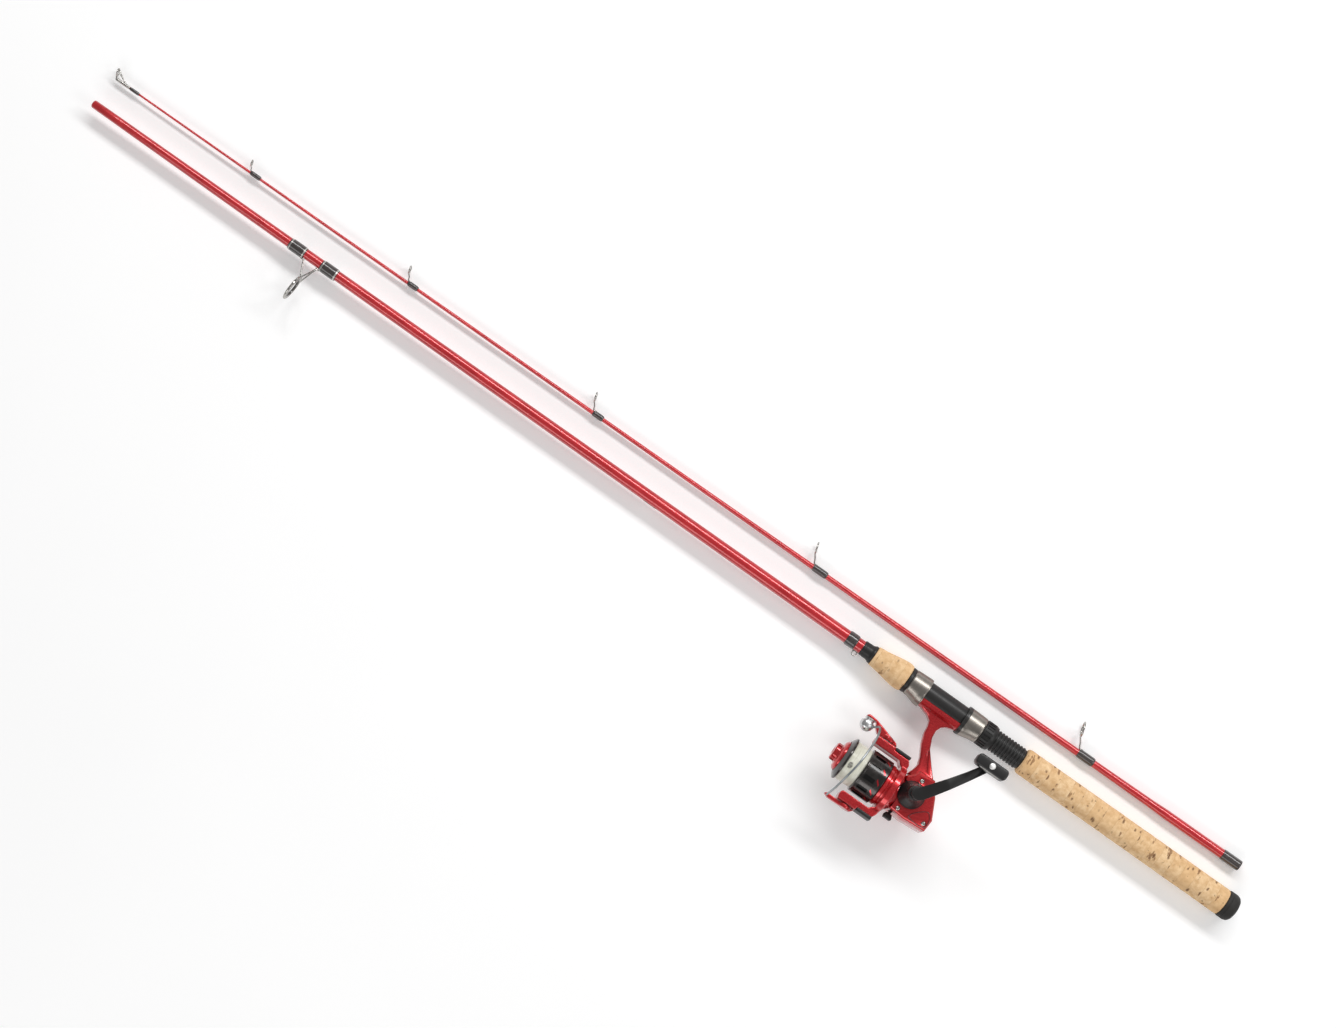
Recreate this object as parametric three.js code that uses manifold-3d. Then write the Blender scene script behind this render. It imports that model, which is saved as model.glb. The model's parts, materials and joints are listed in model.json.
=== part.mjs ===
// A two-piece spinning rod with its spinning reel, laid down: the butt section carries the reel,
// and the tip section lies beside it. Millimetres, +Z up. The X axis is the axis of the butt
// section, from the flat end of the butt cap at the origin towards the tip, and the reel is on
// the +Y side. Both sections and the reel lie on one flat surface.
import * as THREE from 'three';
import { mergeVertices } from 'three/addons/utils/BufferGeometryUtils.js';
import Module from 'manifold-3d';

const wasm = await Module();
wasm.setup();

// ---------------------------------------------------------------- fits
const FIT = 0.15;            // radial gap of a fixed fit on the rod
const GAP = 0.3;             // gap between neighbours in the reel
const RUN = 0.2;             // radial gap of a shaft that turns or slides
const SIDES = 20;            // sides of a full round

// ---------------------------------------------------------------- butt section
const buttLength = 1245;
const buttWall = 1.1;
const buttStartRadius = 6.6;
const buttShoulder = [425, 6.15];      // [station, radius]
const buttMiddle = [835, 5.25];
const buttEndRadius = 3.8;
const capLength = 13.2;
const capRadius = 12.9;
const capFloor = 5;
const rearGripLength = 219;
const rearGripRadius = 12.5;
const threadLength = 35;
const threadPitch = 3.2;
const threadDepth = 0.9;
const shankLength = 16;                // plain stretch between the thread and the barrel
const barrelRadius = 10.75;
const threadCrest = barrelRadius - 0.35;
const seatLength = 125;
const foreGripLength = 35.5;
const foreGripRadius = 13.5;
const foreGripNeck = 9.5;
const checkLength = 12.5;
const keeperBareLength = 6.2;
const keeperWrapLength = 10;
const keeperWire = 0.7;
const keeperHeight = 4.6;

// reel foot and its hoods
const footStation = 84.2;              // from the start of the seat to the middle of the foot
const footLength = 58;
const footHalfWidth = 8.5;
const footThickness = 3;
const hoodCover = 9;                   // how far each hood reaches over the foot
const slidingHoodLength = 20;
const fixedHoodLength = 17;
const hoodRadius = barrelRadius + 1.75;
const hoodLobe = 3.1;                  // the hoods' bulge over the foot
const nutLength = 12.4;
const nutRadius = threadCrest + 1.9;
const nutRibs = 20;

// double-foot guide of the butt section
const stripper = { x: 1004.3, ring: 12.6, wire: 1.25, height: 32.2, wrapGap: 8.6, wrapLength: 17 };

// ---------------------------------------------------------------- tip section
const tipStart = 18;
const tipSide = -35;                   // where the ferrule end lies
const tipYaw = Math.atan2(5, 1212);
const tipRoll = THREE.MathUtils.degToRad(172);
const surface = -foreGripRadius;       // the flat surface that everything lies on
const tipLength = 1217;
const ferruleLength = 82;
const ferruleWall = 0.33;
const ferruleDepth = 70;
const ferruleWrapLength = 19;
const ferruleWrapWall = 0.45;
const tipShoulder = [94, 3.95];        // [station from the ferrule end, radius]
const tipUpper = [162, 3.35];
const tipMiddle = [600, 2.05];
const tipLower = [1030, 1.3];
const tipEndRadius = 0.9;
const tipBoreEnd = 640;
const tipWall = 0.7;
const wrapWall = 0.95;
const wrapLift = 0.35;                 // a wrap bulges over the guide's foot
const footStrip = { width: 1.8, height: 0.7 };
// single-foot guides, from the ferrule: wrap start, wrap length, ring radius, ring height, wire
const guides = [
  { start: 159.5, wrap: 17, ring: 7.4, height: 20, wire: 0.85 },
  { start: 450, wrap: 15, ring: 6, height: 16, wire: 0.8 },
  { start: 694, wrap: 11, ring: 4.9, height: 13.2, wire: 0.75 },
  { start: 896, wrap: 10.8, ring: 4.1, height: 11, wire: 0.7 },
  { start: 1067.5, wrap: 11, ring: 3.3, height: 8, wire: 0.6 },
];
const guideLean = THREE.MathUtils.degToRad(17);
const legReach = 3.2;                  // from the wrap's end to the foot of the ring
const tipTop = { ring: 4, wire: 0.65, tube: 15, over: 7, radius: 1.5, wrap: 10 };

// ---------------------------------------------------------------- reel
// Reel coordinates: x as above, y away from the rod, z out of the handle side.
const reelTilt = THREE.MathUtils.degToRad(12);
const reelY = 90.8;                    // axis of rotor and spool
const shaftRadius = 1.4;
const crankX = 299;
const crankOffset = 4.8;               // the crank axis passes beside the main shaft
const crankY = reelY - crankOffset;
const crankRadius = 2.6;
const stemThickness = 10;
const stemBevel = 1.2;
const caseBack = -14.5;
const caseRim = 9.3;
const coverTop = 13.5;
const caseWall = 2;
const caseBevel = 1.6;
const noseRadius = 19;
const noseStart = 308.5;
const noseEnd = 316.4;
const bossTop = -24;
const bossRadius = 8.8;
const capReach = -30.2;                // outer face of the side cap
const bearingRadius = 5.2;
const bearingWidth = 2.4;
const screwPlaces = [[297.5, 70.2], [302.2, 102.2], [276, 100.6]];
const screwHead = 2.1;
const screwShank = 1.2;
const screwLength = 7;

// face gear and pinion
const gearTeeth = 28;
const pinionTeeth = 7;
const gearToothLength = 2.7;
const gearPlate = 3.4;
const toothWidth = 0.5;
const toothHeight = 1.25;
const pinionWall = 0.54;               // from the shaft's way to the root of the pinion's teeth
const pinionRoot = shaftRadius + RUN + pinionWall;
const meshRadius = pinionRoot + 0.6;
const pinionTip = meshRadius + 0.5;
const gearFace = -(pinionTip + GAP);
const gearReach = meshRadius * gearTeeth / pinionTeeth + gearToothLength / 2;
const gearRadius = Math.hypot(gearReach, crankOffset);
const journalRadius = shaftRadius + RUN + 1;
const pinionEnd = 330.2;

// oscillation: an eccentric wheel beside the crosswind block
const driverTeeth = 15;
const wheelTeeth = 19;
const wheelX = 286.5;
const wheelY = 94;
const wheelBase = 4.2;
const wheelWidth = 2.8;
const eccentricity = 5;
const slideBlock = { rear: 282, front: 288.5, low: 86.6, high: 101, bottom: -1.9, top: 3.2 };

// rotor and bail
const flangeRear = 312.7;
const flangeFront = 318.8;
const flangeRadius = 24;
const rimRadius = 19.5;
const drumRadius = 17.6;
const drumBore = 15.9;
const armInner = 26.2;
const armOuter = 33.9;
const armFront = 351.5;
const armHalfWidth = 7.5;
const coverDepth = 2.4;
const bailX = 341;                     // pivot line of the bail, along the reel's y
const bailStand = armOuter + 0.4;
const rollerX = 364.6;
const rollerRadius = 5.2;
const ballCentre = 36.4;               // distance of the bail's ball from the rotor axis
const ballRadius = 6.6;
const wireRadius = 0.85;

// spool and drag
const skirtRear = 325.7;
const skirtRadius = 21.5;
const skirtWall = 1.3;
const lineStart = 346.8;
const lineEnd = 362.4;
const lineRadius = 19.5;
const coreRadius = 12;
const lipRadius = 21;
const spoolFront = 367.2;
const dragSeat = 364.8;                // floor of the recess for the drag
const dragRecess = 15;
const dragKnobRadius = 8.5;
const dragKnobEnd = 376.5;
const dragRidges = 10;

// handle
const hubRadius = 12.6;
const hubTop = 36;
const armLength = 63.5;
const armAngle = THREE.MathUtils.degToRad(-126);
const armThickness = 4.6;
const armLift = 10.7;                  // the arm's outer half stands clear of the turning bail
const knobSize = { length: 31, width: 10.5, low: 58, high: 71 };
const knobNeck = 4.4;
const pinRadius = 1.8;
const knobX = crankX + armLength * Math.cos(armAngle);
const knobY = crankY + armLength * Math.sin(armAngle);

// ---------------------------------------------------------------- shapes
function solid(geometry) {
  const bare = geometry.index ? geometry.toNonIndexed() : geometry.clone();
  bare.deleteAttribute('normal');
  bare.deleteAttribute('uv');
  const merged = mergeVertices(bare, 1e-4);
  return new wasm.Manifold(new wasm.Mesh({
    numProp: 3,
    vertProperties: merged.attributes.position.array,
    triVerts: new Uint32Array(merged.index.array),
  }));
}

function join(first, ...others) {
  return others.reduce((body, other) => body.add(other), first);
}

function cut(first, ...others) {
  return others.reduce((body, other) => body.subtract(other), first);
}

// A turned piece about the x, y or z axis through a point. The profile is a list of
// [place along the axis, radius] that starts and ends on the axis, or closes on itself.
function turned(profile, { axis = 'x', at = [0, 0, 0], sides = SIDES } = {}) {
  const build = (points) => {
    const outline = points.map(([place, r]) => new THREE.Vector2(r, place));
    const geometry = new THREE.LatheGeometry(outline, sides);
    if (axis === 'x') geometry.rotateZ(-Math.PI / 2);
    if (axis === 'z') geometry.rotateX(Math.PI / 2);
    return solid(geometry.translate(...at));
  };
  const made = build(profile);
  return made.volume() > 0 ? made : build([...profile].reverse());
}

function disc(from, to, radius, options) {
  return turned([[from, 0], [from, radius], [to, radius], [to, 0]], options);
}

function sleeve(from, to, inner, outer, options) {
  return turned([[from, inner], [from, outer], [to, outer], [to, inner], [from, inner]], options);
}

function block([x0, x1], [y0, y1], [z0, z1]) {
  const box = new THREE.BoxGeometry(x1 - x0, y1 - y0, z1 - z0);
  return solid(box.translate((x0 + x1) / 2, (y0 + y1) / 2, (z0 + z1) / 2));
}

function shapeOf(points) {
  return new THREE.Shape(points.map(([x, y]) => new THREE.Vector2(x, y)));
}

// A flat piece with its outline in x and y, between two z levels, with bevelled edges.
function plate(shape, [z0, z1], bevel = 0) {
  const geometry = new THREE.ExtrudeGeometry(shape, {
    depth: z1 - z0 - 2 * bevel,
    bevelEnabled: bevel > 0,
    bevelSize: bevel,
    bevelOffset: -bevel,
    bevelThickness: bevel,
    bevelSegments: 1,
    curveSegments: 4,
  });
  return solid(geometry.translate(0, 0, z0 + bevel));
}

// A round bar along a smooth line through the points.
function wire(points, radius, steps = 1, sides = 6) {
  const section = new THREE.Shape().absarc(0, 0, radius, 0, 2 * Math.PI);
  const path = new THREE.CatmullRomCurve3(points.map((p) => new THREE.Vector3(...p)));
  return solid(new THREE.ExtrudeGeometry(section, { extrudePath: path, steps, curveSegments: sides / 2 }));
}

// A ring of round wire whose plane stands across the x axis, leaning towards +x by an angle.
function wireRing(x, y, radius, wireSize, lean) {
  const middle = radius - wireSize;
  const section = [];
  for (let i = 0; i <= 6; i += 1) {
    const angle = 2 * Math.PI * i / 6;
    section.push(new THREE.Vector2(middle + wireSize * Math.cos(angle), wireSize * Math.sin(angle)));
  }
  const around = radius > 5 ? 20 : 14;
  const revolve = (outline) => {
    const ring = new THREE.LatheGeometry(outline, around);
    return solid(ring.rotateZ(-Math.PI / 2 - lean).translate(x, y, 0));
  };
  const made = revolve(section);
  return made.volume() > 0 ? made : revolve([...section].reverse());
}

// The same outline moved inwards by a wall.
function inset(points, wall) {
  const turn = Math.sign(THREE.ShapeUtils.area(points.map(([x, y]) => new THREE.Vector2(x, y))));
  const edge = (i) => {
    const [ax, ay] = points[(i + points.length) % points.length];
    const [bx, by] = points[(i + 1) % points.length];
    const length = Math.hypot(bx - ax, by - ay);
    const normal = [-(by - ay) / length * turn, (bx - ax) / length * turn];
    return { normal, level: normal[0] * ax + normal[1] * ay + wall };
  };
  return points.map((point, i) => {
    const before = edge(i - 1);
    const after = edge(i);
    const det = before.normal[0] * after.normal[1] - before.normal[1] * after.normal[0];
    return [
      (before.level * after.normal[1] - after.level * before.normal[1]) / det,
      (before.normal[0] * after.level - after.normal[0] * before.level) / det,
    ];
  });
}

function taper(stations) {
  return (x) => {
    const next = Math.max(1, stations.findIndex(([place]) => place >= x));
    const end = stations[next][0] >= x ? next : stations.length - 1;
    const [x0, r0] = stations[end - 1];
    const [x1, r1] = stations[end];
    return r0 + (r1 - r0) * (x - x0) / (x1 - x0);
  };
}

// ---------------------------------------------------------------- finishes and nodes
const finishes = {
  redPaint: [0xc0242b, 0.3, 0.1],
  redBlank: [0xb5202a, 0.25, 0.1],
  cork: [0xe3bd90, 0.9, 0],
  blackPlastic: [0x2b2927, 0.5, 0],
  rubber: [0x2a2826, 0.8, 0],
  gunmetal: [0x8a8076, 0.35, 0.9],
  thread: [0x35302d, 0.35, 0],
  steel: [0xb9b4aa, 0.3, 0.95],
  chrome: [0xd8d8d8, 0.1, 1],
  brass: [0xc39a4b, 0.35, 0.95],
  ceramic: [0x4a4440, 0.25, 0.2],
  line: [0xd9d3b6, 0.6, 0],
  fibre: [0x6b5a45, 0.8, 0],
};

const rodGroup = new THREE.Group();
const tipGroup = new THREE.Group();
const sideGroup = new THREE.Group();    // what stands off the rod on the reel's side
const reelGroup = new THREE.Group();
sideGroup.add(reelGroup);

function node(name, body, finish, parent = rodGroup) {
  const { vertProperties, triVerts } = body.getMesh();
  const geometry = new THREE.BufferGeometry();
  geometry.setAttribute('position', new THREE.BufferAttribute(vertProperties, 3));
  geometry.setIndex(new THREE.BufferAttribute(triVerts, 1));
  geometry.computeVertexNormals();
  const [color, roughness, metalness] = finishes[finish];
  const mesh = new THREE.Mesh(geometry, new THREE.MeshStandardMaterial({ color, roughness, metalness }));
  mesh.name = name;
  parent.add(mesh);
}

// ---------------------------------------------------------------- butt section pieces
const buttStations = [[0, buttStartRadius], buttShoulder, buttMiddle, [buttLength, buttEndRadius]];
const buttRadius = taper(buttStations);
const gripStart = capLength + GAP;
const gripEnd = gripStart + rearGripLength;
const seatStart = gripEnd + GAP;
const seatEnd = seatStart + seatLength;
const foreStart = seatEnd + GAP;
const foreEnd = foreStart + foreGripLength;
const checkStart = foreEnd + GAP;
const checkEnd = checkStart + checkLength;
const keeperWrapStart = checkEnd + keeperBareLength;
const keeperWrapEnd = keeperWrapStart + keeperWrapLength;

// A bore that follows the blank's taper between two stations.
function buttBore(from, to) {
  return turned([
    [from, 0], [from, buttRadius(from) + FIT], [to, buttRadius(to) + FIT], [to, 0],
  ], { sides: 16 });
}

function buttBlank() {
  const start = capFloor + GAP;
  const plug = buttLength - 6;
  const inner = [plug, buttMiddle[0], buttShoulder[0], start].map((x) => [x, buttRadius(x) - buttWall]);
  const outer = [start, buttShoulder[0], buttMiddle[0]].map((x) => [x, buttRadius(x)]);
  const nose = [
    [buttLength - 1.6, buttEndRadius], [buttLength - 0.4, buttEndRadius - 1.1],
    [buttLength, buttEndRadius - 2.4],
  ];
  return turned([[plug, 0], ...inner, ...outer, ...nose, [buttLength, 0]], { sides: 16 });
}
node('butt_blank', buttBlank(), 'redBlank');

const capProfile = [
  [0, 0], [0, 7], [0.9, 9.8], [3, 12], [5.8, capRadius],
  [capLength - 0.8, capRadius], [capLength, capRadius - 0.6], [capLength, 0],
];
node('butt_cap', cut(turned(capProfile), buttBore(capFloor, capLength + 1)), 'rubber');

const rearGrip = turned([
  [gripStart, 0], [gripStart, rearGripRadius - 0.4], [gripStart + 1, rearGripRadius],
  [gripEnd - 2.5, rearGripRadius], [gripEnd, rearGripRadius - 1.4], [gripEnd, 0],
]);
node('rear_grip', cut(rearGrip, buttBore(gripStart - 1, gripEnd + 1)), 'cork');

function reelSeat() {
  const barrelStart = seatStart + threadLength + shankLength;
  const ridges = [];
  const count = Math.floor(threadLength / threadPitch) - 1;
  for (let i = 0; i < count; i += 1) {
    const crest = seatStart + threadPitch * (i + 1);
    ridges.push([crest, threadCrest], [crest + threadPitch / 2, threadCrest - threadDepth]);
  }
  const body = turned([
    [seatStart, 0], [seatStart, threadCrest - threadDepth], ...ridges,
    [barrelStart - 1, threadCrest], [barrelStart, barrelRadius],
    [seatEnd, barrelRadius], [seatEnd, 0],
  ]);
  return cut(body, buttBore(seatStart - 1, seatEnd + 1));
}
node('reel_seat', reelSeat(), 'blackPlastic');

const foreGrip = turned([
  [foreStart, 0], [foreStart, foreGripRadius - 1.2], [foreStart + 2, foreGripRadius - 0.2],
  [foreStart + 4, foreGripRadius], [foreStart + 8, foreGripRadius - 0.2],
  [foreStart + 20, foreGripRadius - 2.2],
  [foreEnd - 2, foreGripNeck + 0.2], [foreEnd, foreGripNeck - 0.4],
  [foreEnd, 0],
]);
node('fore_grip', cut(foreGrip, buttBore(foreStart - 1, foreEnd + 1)), 'cork');

const checkRadius = buttRadius(checkStart) + 0.9;
const check = turned([
  [checkStart, 0], [checkStart, checkRadius + 1.8], [checkStart + 1.8, checkRadius + 1.6],
  [checkStart + 3.2, checkRadius + 0.2],
  [checkEnd - 0.6, checkRadius - 0.1], [checkEnd, checkRadius - 0.5],
  [checkEnd, 0],
]);
node('winding_check', cut(check, buttBore(checkStart - 1, checkEnd + 1)), 'blackPlastic');

const keeperWrap = turned([
  [keeperWrapStart, 0], [keeperWrapStart, checkRadius - 0.5], [keeperWrapStart + 0.8, checkRadius - 0.1],
  [keeperWrapEnd - 1.5, checkRadius - 0.1], [keeperWrapEnd, checkRadius - 0.5], [keeperWrapEnd, 0],
]);
node('keeper_wrap', cut(keeperWrap, buttBore(keeperWrapStart - 1, keeperWrapEnd + 1)), 'thread');

// The hook keeper stands between the check and the wrap: a wire arch on a curved saddle.
function hookKeeper() {
  const from = checkEnd + GAP;
  const to = keeperWrapStart - GAP;
  const blank = buttRadius(from);
  const ring = sleeve(from, to, blank + FIT, blank + FIT + 0.8, { sides: 16 });
  const saddle = ring.intersect(block([from, to], [0, blank + 3], [-2.2, 2.2]));
  const low = blank + FIT + 0.4;
  const arch = wire([
    [from + keeperWire, low, 0], [from + keeperWire + 0.1, low + keeperHeight * 0.6, 0],
    [(from + to) / 2, low + keeperHeight, 0],
    [to - keeperWire - 0.1, low + keeperHeight * 0.6, 0], [to - keeperWire, low, 0],
  ], keeperWire, 12);
  return saddle.add(arch);
}
node('hook_keeper', hookKeeper(), 'steel', sideGroup);

// ---------------------------------------------------------------- guide on the butt section
const stripperWraps = [-1, 1].map((side) => {
  const near = stripper.x + side * stripper.wrapGap;
  const far = near + side * stripper.wrapLength;
  return { side, near, from: Math.min(near, far), to: Math.max(near, far) };
});

function wrapSleeve(from, to, radiusAt, sides = 16) {
  const outer = turned([
    [from, 0], [from, radiusAt(from) + 0.35], [from + 1.6, radiusAt(from) + wrapWall],
    [to - 1.6, radiusAt(to) + wrapWall], [to, radiusAt(to) + 0.35], [to, 0],
  ], { at: [0, wrapLift, 0], sides });
  const bore = turned([
    [from - 1, 0], [from - 1, radiusAt(from - 1) + FIT], [to + 1, radiusAt(to + 1) + FIT], [to + 1, 0],
  ], { sides });
  return cut(outer, bore);
}

function stripperFoot({ side, near }, margin) {
  const low = buttRadius(stripper.x) + 0.35;
  const ends = [near - side * 2.6, near + side * 12];
  const [from, to] = [Math.min(...ends) - margin, Math.max(...ends) + margin];
  const half = footStrip.width / 2 + margin;
  return block([from, to], [low - margin, low + footStrip.height + margin], [-half, half]);
}

function stripperGuide() {
  const ring = wireRing(stripper.x, stripper.height, stripper.ring, stripper.wire, guideLean / 5);
  const low = buttRadius(stripper.x) + 0.7;
  const inner = stripper.height - stripper.ring + stripper.wire;
  const rearFoot = stripper.x - stripper.wrapGap + 1.4;
  const frontFoot = stripper.x + stripper.wrapGap - 1.4;
  const spread = stripper.ring * 0.72;
  const legs = [
    wire([[frontFoot, low, 0], [stripper.x - 0.5, inner, 0]], 0.75),
    ...[-1, 1].map((side) => wire([
      [rearFoot, low, 0], [stripper.x - 0.3, stripper.height - stripper.ring * 0.58, side * spread],
    ], 0.75)),
  ];
  return join(ring, ...legs, ...stripperWraps.map((wrap) => stripperFoot(wrap, 0)));
}
node('stripper_guide', stripperGuide(), 'steel', sideGroup);

const liningRadius = stripper.ring - 2 * stripper.wire - GAP;
const lining = turned([
  [-1, liningRadius - 1.2], [-1, liningRadius - 0.3], [0, liningRadius], [1, liningRadius - 0.3],
  [1, liningRadius - 1.2], [0, liningRadius - 1.5], [-1, liningRadius - 1.2],
], { sides: 16 });
const liningPlace = lining.rotate([0, 0, -THREE.MathUtils.radToDeg(guideLean / 5)]);
node('stripper_ring', liningPlace.translate([stripper.x, stripper.height, 0]), 'ceramic', sideGroup);

for (const wrap of stripperWraps) {
  const name = wrap.side < 0 ? 'stripper_rear_wrap' : 'stripper_front_wrap';
  node(name, cut(wrapSleeve(wrap.from, wrap.to, buttRadius), stripperFoot(wrap, FIT)), 'thread', sideGroup);
}

// ---------------------------------------------------------------- tip section pieces
// The socket's taper matches the last stretch of the butt section, which goes into it.
const socketRadius = (depth) => buttRadius(buttLength - ferruleDepth + depth) + FIT / 2;
const ferruleRadius = socketRadius(0) + ferruleWall;
const tipStations = [
  [0, ferruleRadius], [ferruleLength, ferruleRadius],
  tipShoulder, tipUpper, tipMiddle, tipLower, [tipLength, tipEndRadius],
];
const tipRadius = taper(tipStations);

function tipBlank() {
  const bore = [
    [tipBoreEnd, tipRadius(tipBoreEnd) - tipWall], [tipUpper[0], tipRadius(tipUpper[0]) - tipWall],
    [tipShoulder[0], tipRadius(tipShoulder[0]) - tipWall], [ferruleDepth + 1, tipShoulder[1] - tipWall],
    [ferruleDepth, socketRadius(ferruleDepth)], [0, socketRadius(0)],
  ];
  const outer = tipStations.slice(0, -1);
  return turned([
    [tipBoreEnd, 0], ...bore, ...outer, [tipLength, tipEndRadius], [tipLength, 0],
  ], { sides: 16 });
}
node('tip_blank', tipBlank(), 'redBlank', tipGroup);

const ferruleWrapRadius = ferruleRadius + FIT + ferruleWrapWall;
node('ferrule_wrap', turned([
  [0, ferruleRadius + FIT], [0, ferruleWrapRadius - 0.1], [0.8, ferruleWrapRadius],
  [ferruleWrapLength - 1.2, ferruleWrapRadius], [ferruleWrapLength, ferruleRadius + FIT + 0.2],
  [ferruleWrapLength, ferruleRadius + FIT], [0, ferruleRadius + FIT],
], { sides: 16 }), 'thread', tipGroup);

function singleFoot(guide, margin) {
  const end = guide.start + guide.wrap;
  const low = tipRadius(guide.start) + 0.3;
  const half = footStrip.width / 2 + margin;
  return block(
    [end - guide.wrap * 0.7 - margin, end + 1 + margin],
    [low - margin, low + footStrip.height + margin],
    [-half, half],
  );
}

function singleGuide(guide) {
  const end = guide.start + guide.wrap;
  const low = tipRadius(guide.start) + 0.3 + footStrip.height / 2;
  const rise = guide.height - guide.ring + guide.wire;
  const baseX = end + 0.6 + (rise - low) * 0.62;
  const centreX = baseX + (guide.ring - guide.wire) * Math.sin(guideLean);
  const ring = wireRing(centreX, guide.height, guide.ring, guide.wire, guideLean);
  const leg = wire([[end + 0.4, low, 0], [baseX, rise + 0.3, 0]], guide.wire);
  return join(ring, leg, singleFoot(guide, 0));
}

guides.forEach((guide, i) => {
  const end = guide.start + guide.wrap;
  node(`guide_${i + 1}`, singleGuide(guide), 'steel', tipGroup);
  const sleeveBody = wrapSleeve(guide.start, end, tipRadius, 12);
  node(`guide_${i + 1}_wrap`, cut(sleeveBody, singleFoot(guide, FIT)), 'thread', tipGroup);
});

function tipTopGuide() {
  const from = tipLength - tipTop.over;
  const end = from + tipTop.tube;
  const body = turned([
    [from, 0], [from, tipTop.radius - 0.15], [from + 1, tipTop.radius],
    [end - 1, tipTop.radius], [end, tipTop.radius - 0.4], [end, 0],
  ], { sides: 12 });
  const bore = turned([
    [from - 1, 0], [from - 1, tipRadius(from - 1) + FIT],
    [tipLength + GAP, tipEndRadius + FIT], [tipLength + GAP, 0],
  ], { sides: 16 });
  const height = tipTop.ring + 1.6;
  const ringX = end + 1.5;
  const ring = wireRing(ringX, height, tipTop.ring, tipTop.wire, guideLean);
  const braces = [-1, 1].map((side) => wire([
    [from + 5, tipTop.radius - 0.3, side * 0.5],
    [ringX + 0.3, height + tipTop.ring * 0.5, side * tipTop.ring * 0.72],
  ], 0.45, 1, 6));
  const stem = wire([[end - 1.5, 0.4, 0], [ringX - 0.9, height - tipTop.ring + tipTop.wire, 0]], 0.8);
  return join(cut(body, bore), ring, stem, ...braces);
}
node('tip_top', tipTopGuide(), 'steel', tipGroup);

const tipWrapEnd = tipLength - tipTop.over - GAP;
const tipWrapStart = tipWrapEnd - tipTop.wrap;
const tipWrap = turned([
  [tipWrapStart, 0], [tipWrapStart, tipRadius(tipWrapStart) + 0.35],
  [tipWrapStart + 1, tipRadius(tipWrapStart) + 0.6],
  [tipWrapEnd - 0.6, tipRadius(tipWrapEnd) + 0.6],
  [tipWrapEnd, tipRadius(tipWrapEnd) + 0.4], [tipWrapEnd, 0],
], { sides: 16 });
const tipWrapBore = turned([
  [tipWrapStart - 1, 0], [tipWrapStart - 1, tipRadius(tipWrapStart) + FIT],
  [tipWrapEnd + 1, tipRadius(tipWrapEnd) + FIT],
  [tipWrapEnd + 1, 0],
], { sides: 16 });
node('tip_top_wrap', cut(tipWrap, tipWrapBore), 'thread', tipGroup);

// ---------------------------------------------------------------- seat hoods and locking nut
const footCentre = seatStart + footStation;
const footRear = footCentre - footLength / 2;
const footFront = footCentre + footLength / 2;
const footInner = barrelRadius + GAP;

// The reel foot: a curved plate on the seat, thinner at both ends, grown by a margin for its pockets.
function foot(margin) {
  const inner = footInner - margin;
  const thin = footInner + footThickness * 0.45 + margin;
  const thick = footInner + footThickness + margin;
  const ring = turned([
    [footRear - margin, inner], [footRear - margin, thin], [footRear + hoodCover + 2, thick],
    [footFront - hoodCover - 2, thick], [footFront + margin, thin],
    [footFront + margin, inner], [footRear - margin, inner],
  ], { sides: 28 });
  const half = footHalfWidth + margin;
  return ring.intersect(block([footRear - 1, footFront + 1], [3, thick + 1], [-half, half]));
}

// A hood from its closed end to its mouth over the foot, with a lobe that covers the foot.
function hood(closed, mouth) {
  const way = Math.sign(mouth - closed);
  const collar = turned([
    [closed, 0], [closed, hoodRadius - 0.7], [closed + way * 1.2, hoodRadius - 0.1],
    [mouth, hoodRadius + 0.4], [mouth, 0],
  ]);
  const lobe = turned([
    [closed + way * 3, 0], [closed + way * 3, hoodRadius - 3.4], [mouth - way * 5, hoodRadius - 0.7],
    [mouth, hoodRadius - 0.3], [mouth, 0],
  ], { at: [0, hoodLobe, 0] });
  const [from, to] = [Math.min(closed, mouth) - 1, Math.max(closed, mouth) + 1];
  const barrel = disc(from, to, barrelRadius + RUN);
  return cut(collar.add(lobe), barrel, foot(GAP));
}
const slidingMouth = footRear + hoodCover;
const fixedMouth = footFront - hoodCover;
node('sliding_hood', hood(slidingMouth - slidingHoodLength, slidingMouth), 'gunmetal', sideGroup);
node('fixed_hood', hood(fixedMouth + fixedHoodLength, fixedMouth), 'gunmetal', sideGroup);

function lockingNut() {
  const front = slidingMouth - slidingHoodLength - GAP;
  const rear = front - nutLength;
  const blank = turned([
    [rear, 0], [rear, threadCrest + 0.8], [rear + 3.4, nutRadius],
    [front - 0.6, nutRadius], [front, nutRadius - 0.5], [front, 0],
  ], { sides: 16 });
  let body = cut(blank, disc(rear - 1, front + 1, threadCrest + RUN));
  for (let i = 0; i < nutRibs; i += 1) {
    const groove = disc(rear - 1, front - 1.6, 0.55, { at: [0, nutRadius + 0.1, 0], sides: 4 });
    body = cut(body, groove.rotate([360 * i / nutRibs, 0, 0]));
  }
  return body;
}
node('locking_nut', lockingNut(), 'blackPlastic');

const hoodBack = fixedMouth + fixedHoodLength;
node('seat_collar', turned([
  [hoodBack + GAP, barrelRadius + FIT],
  [hoodBack + GAP, hoodRadius - 0.5],
  [seatEnd - 0.6, hoodRadius - 0.2],
  [seatEnd, hoodRadius - 0.8], [seatEnd, barrelRadius + FIT], [hoodBack + GAP, barrelRadius + FIT],
]), 'blackPlastic');

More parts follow.
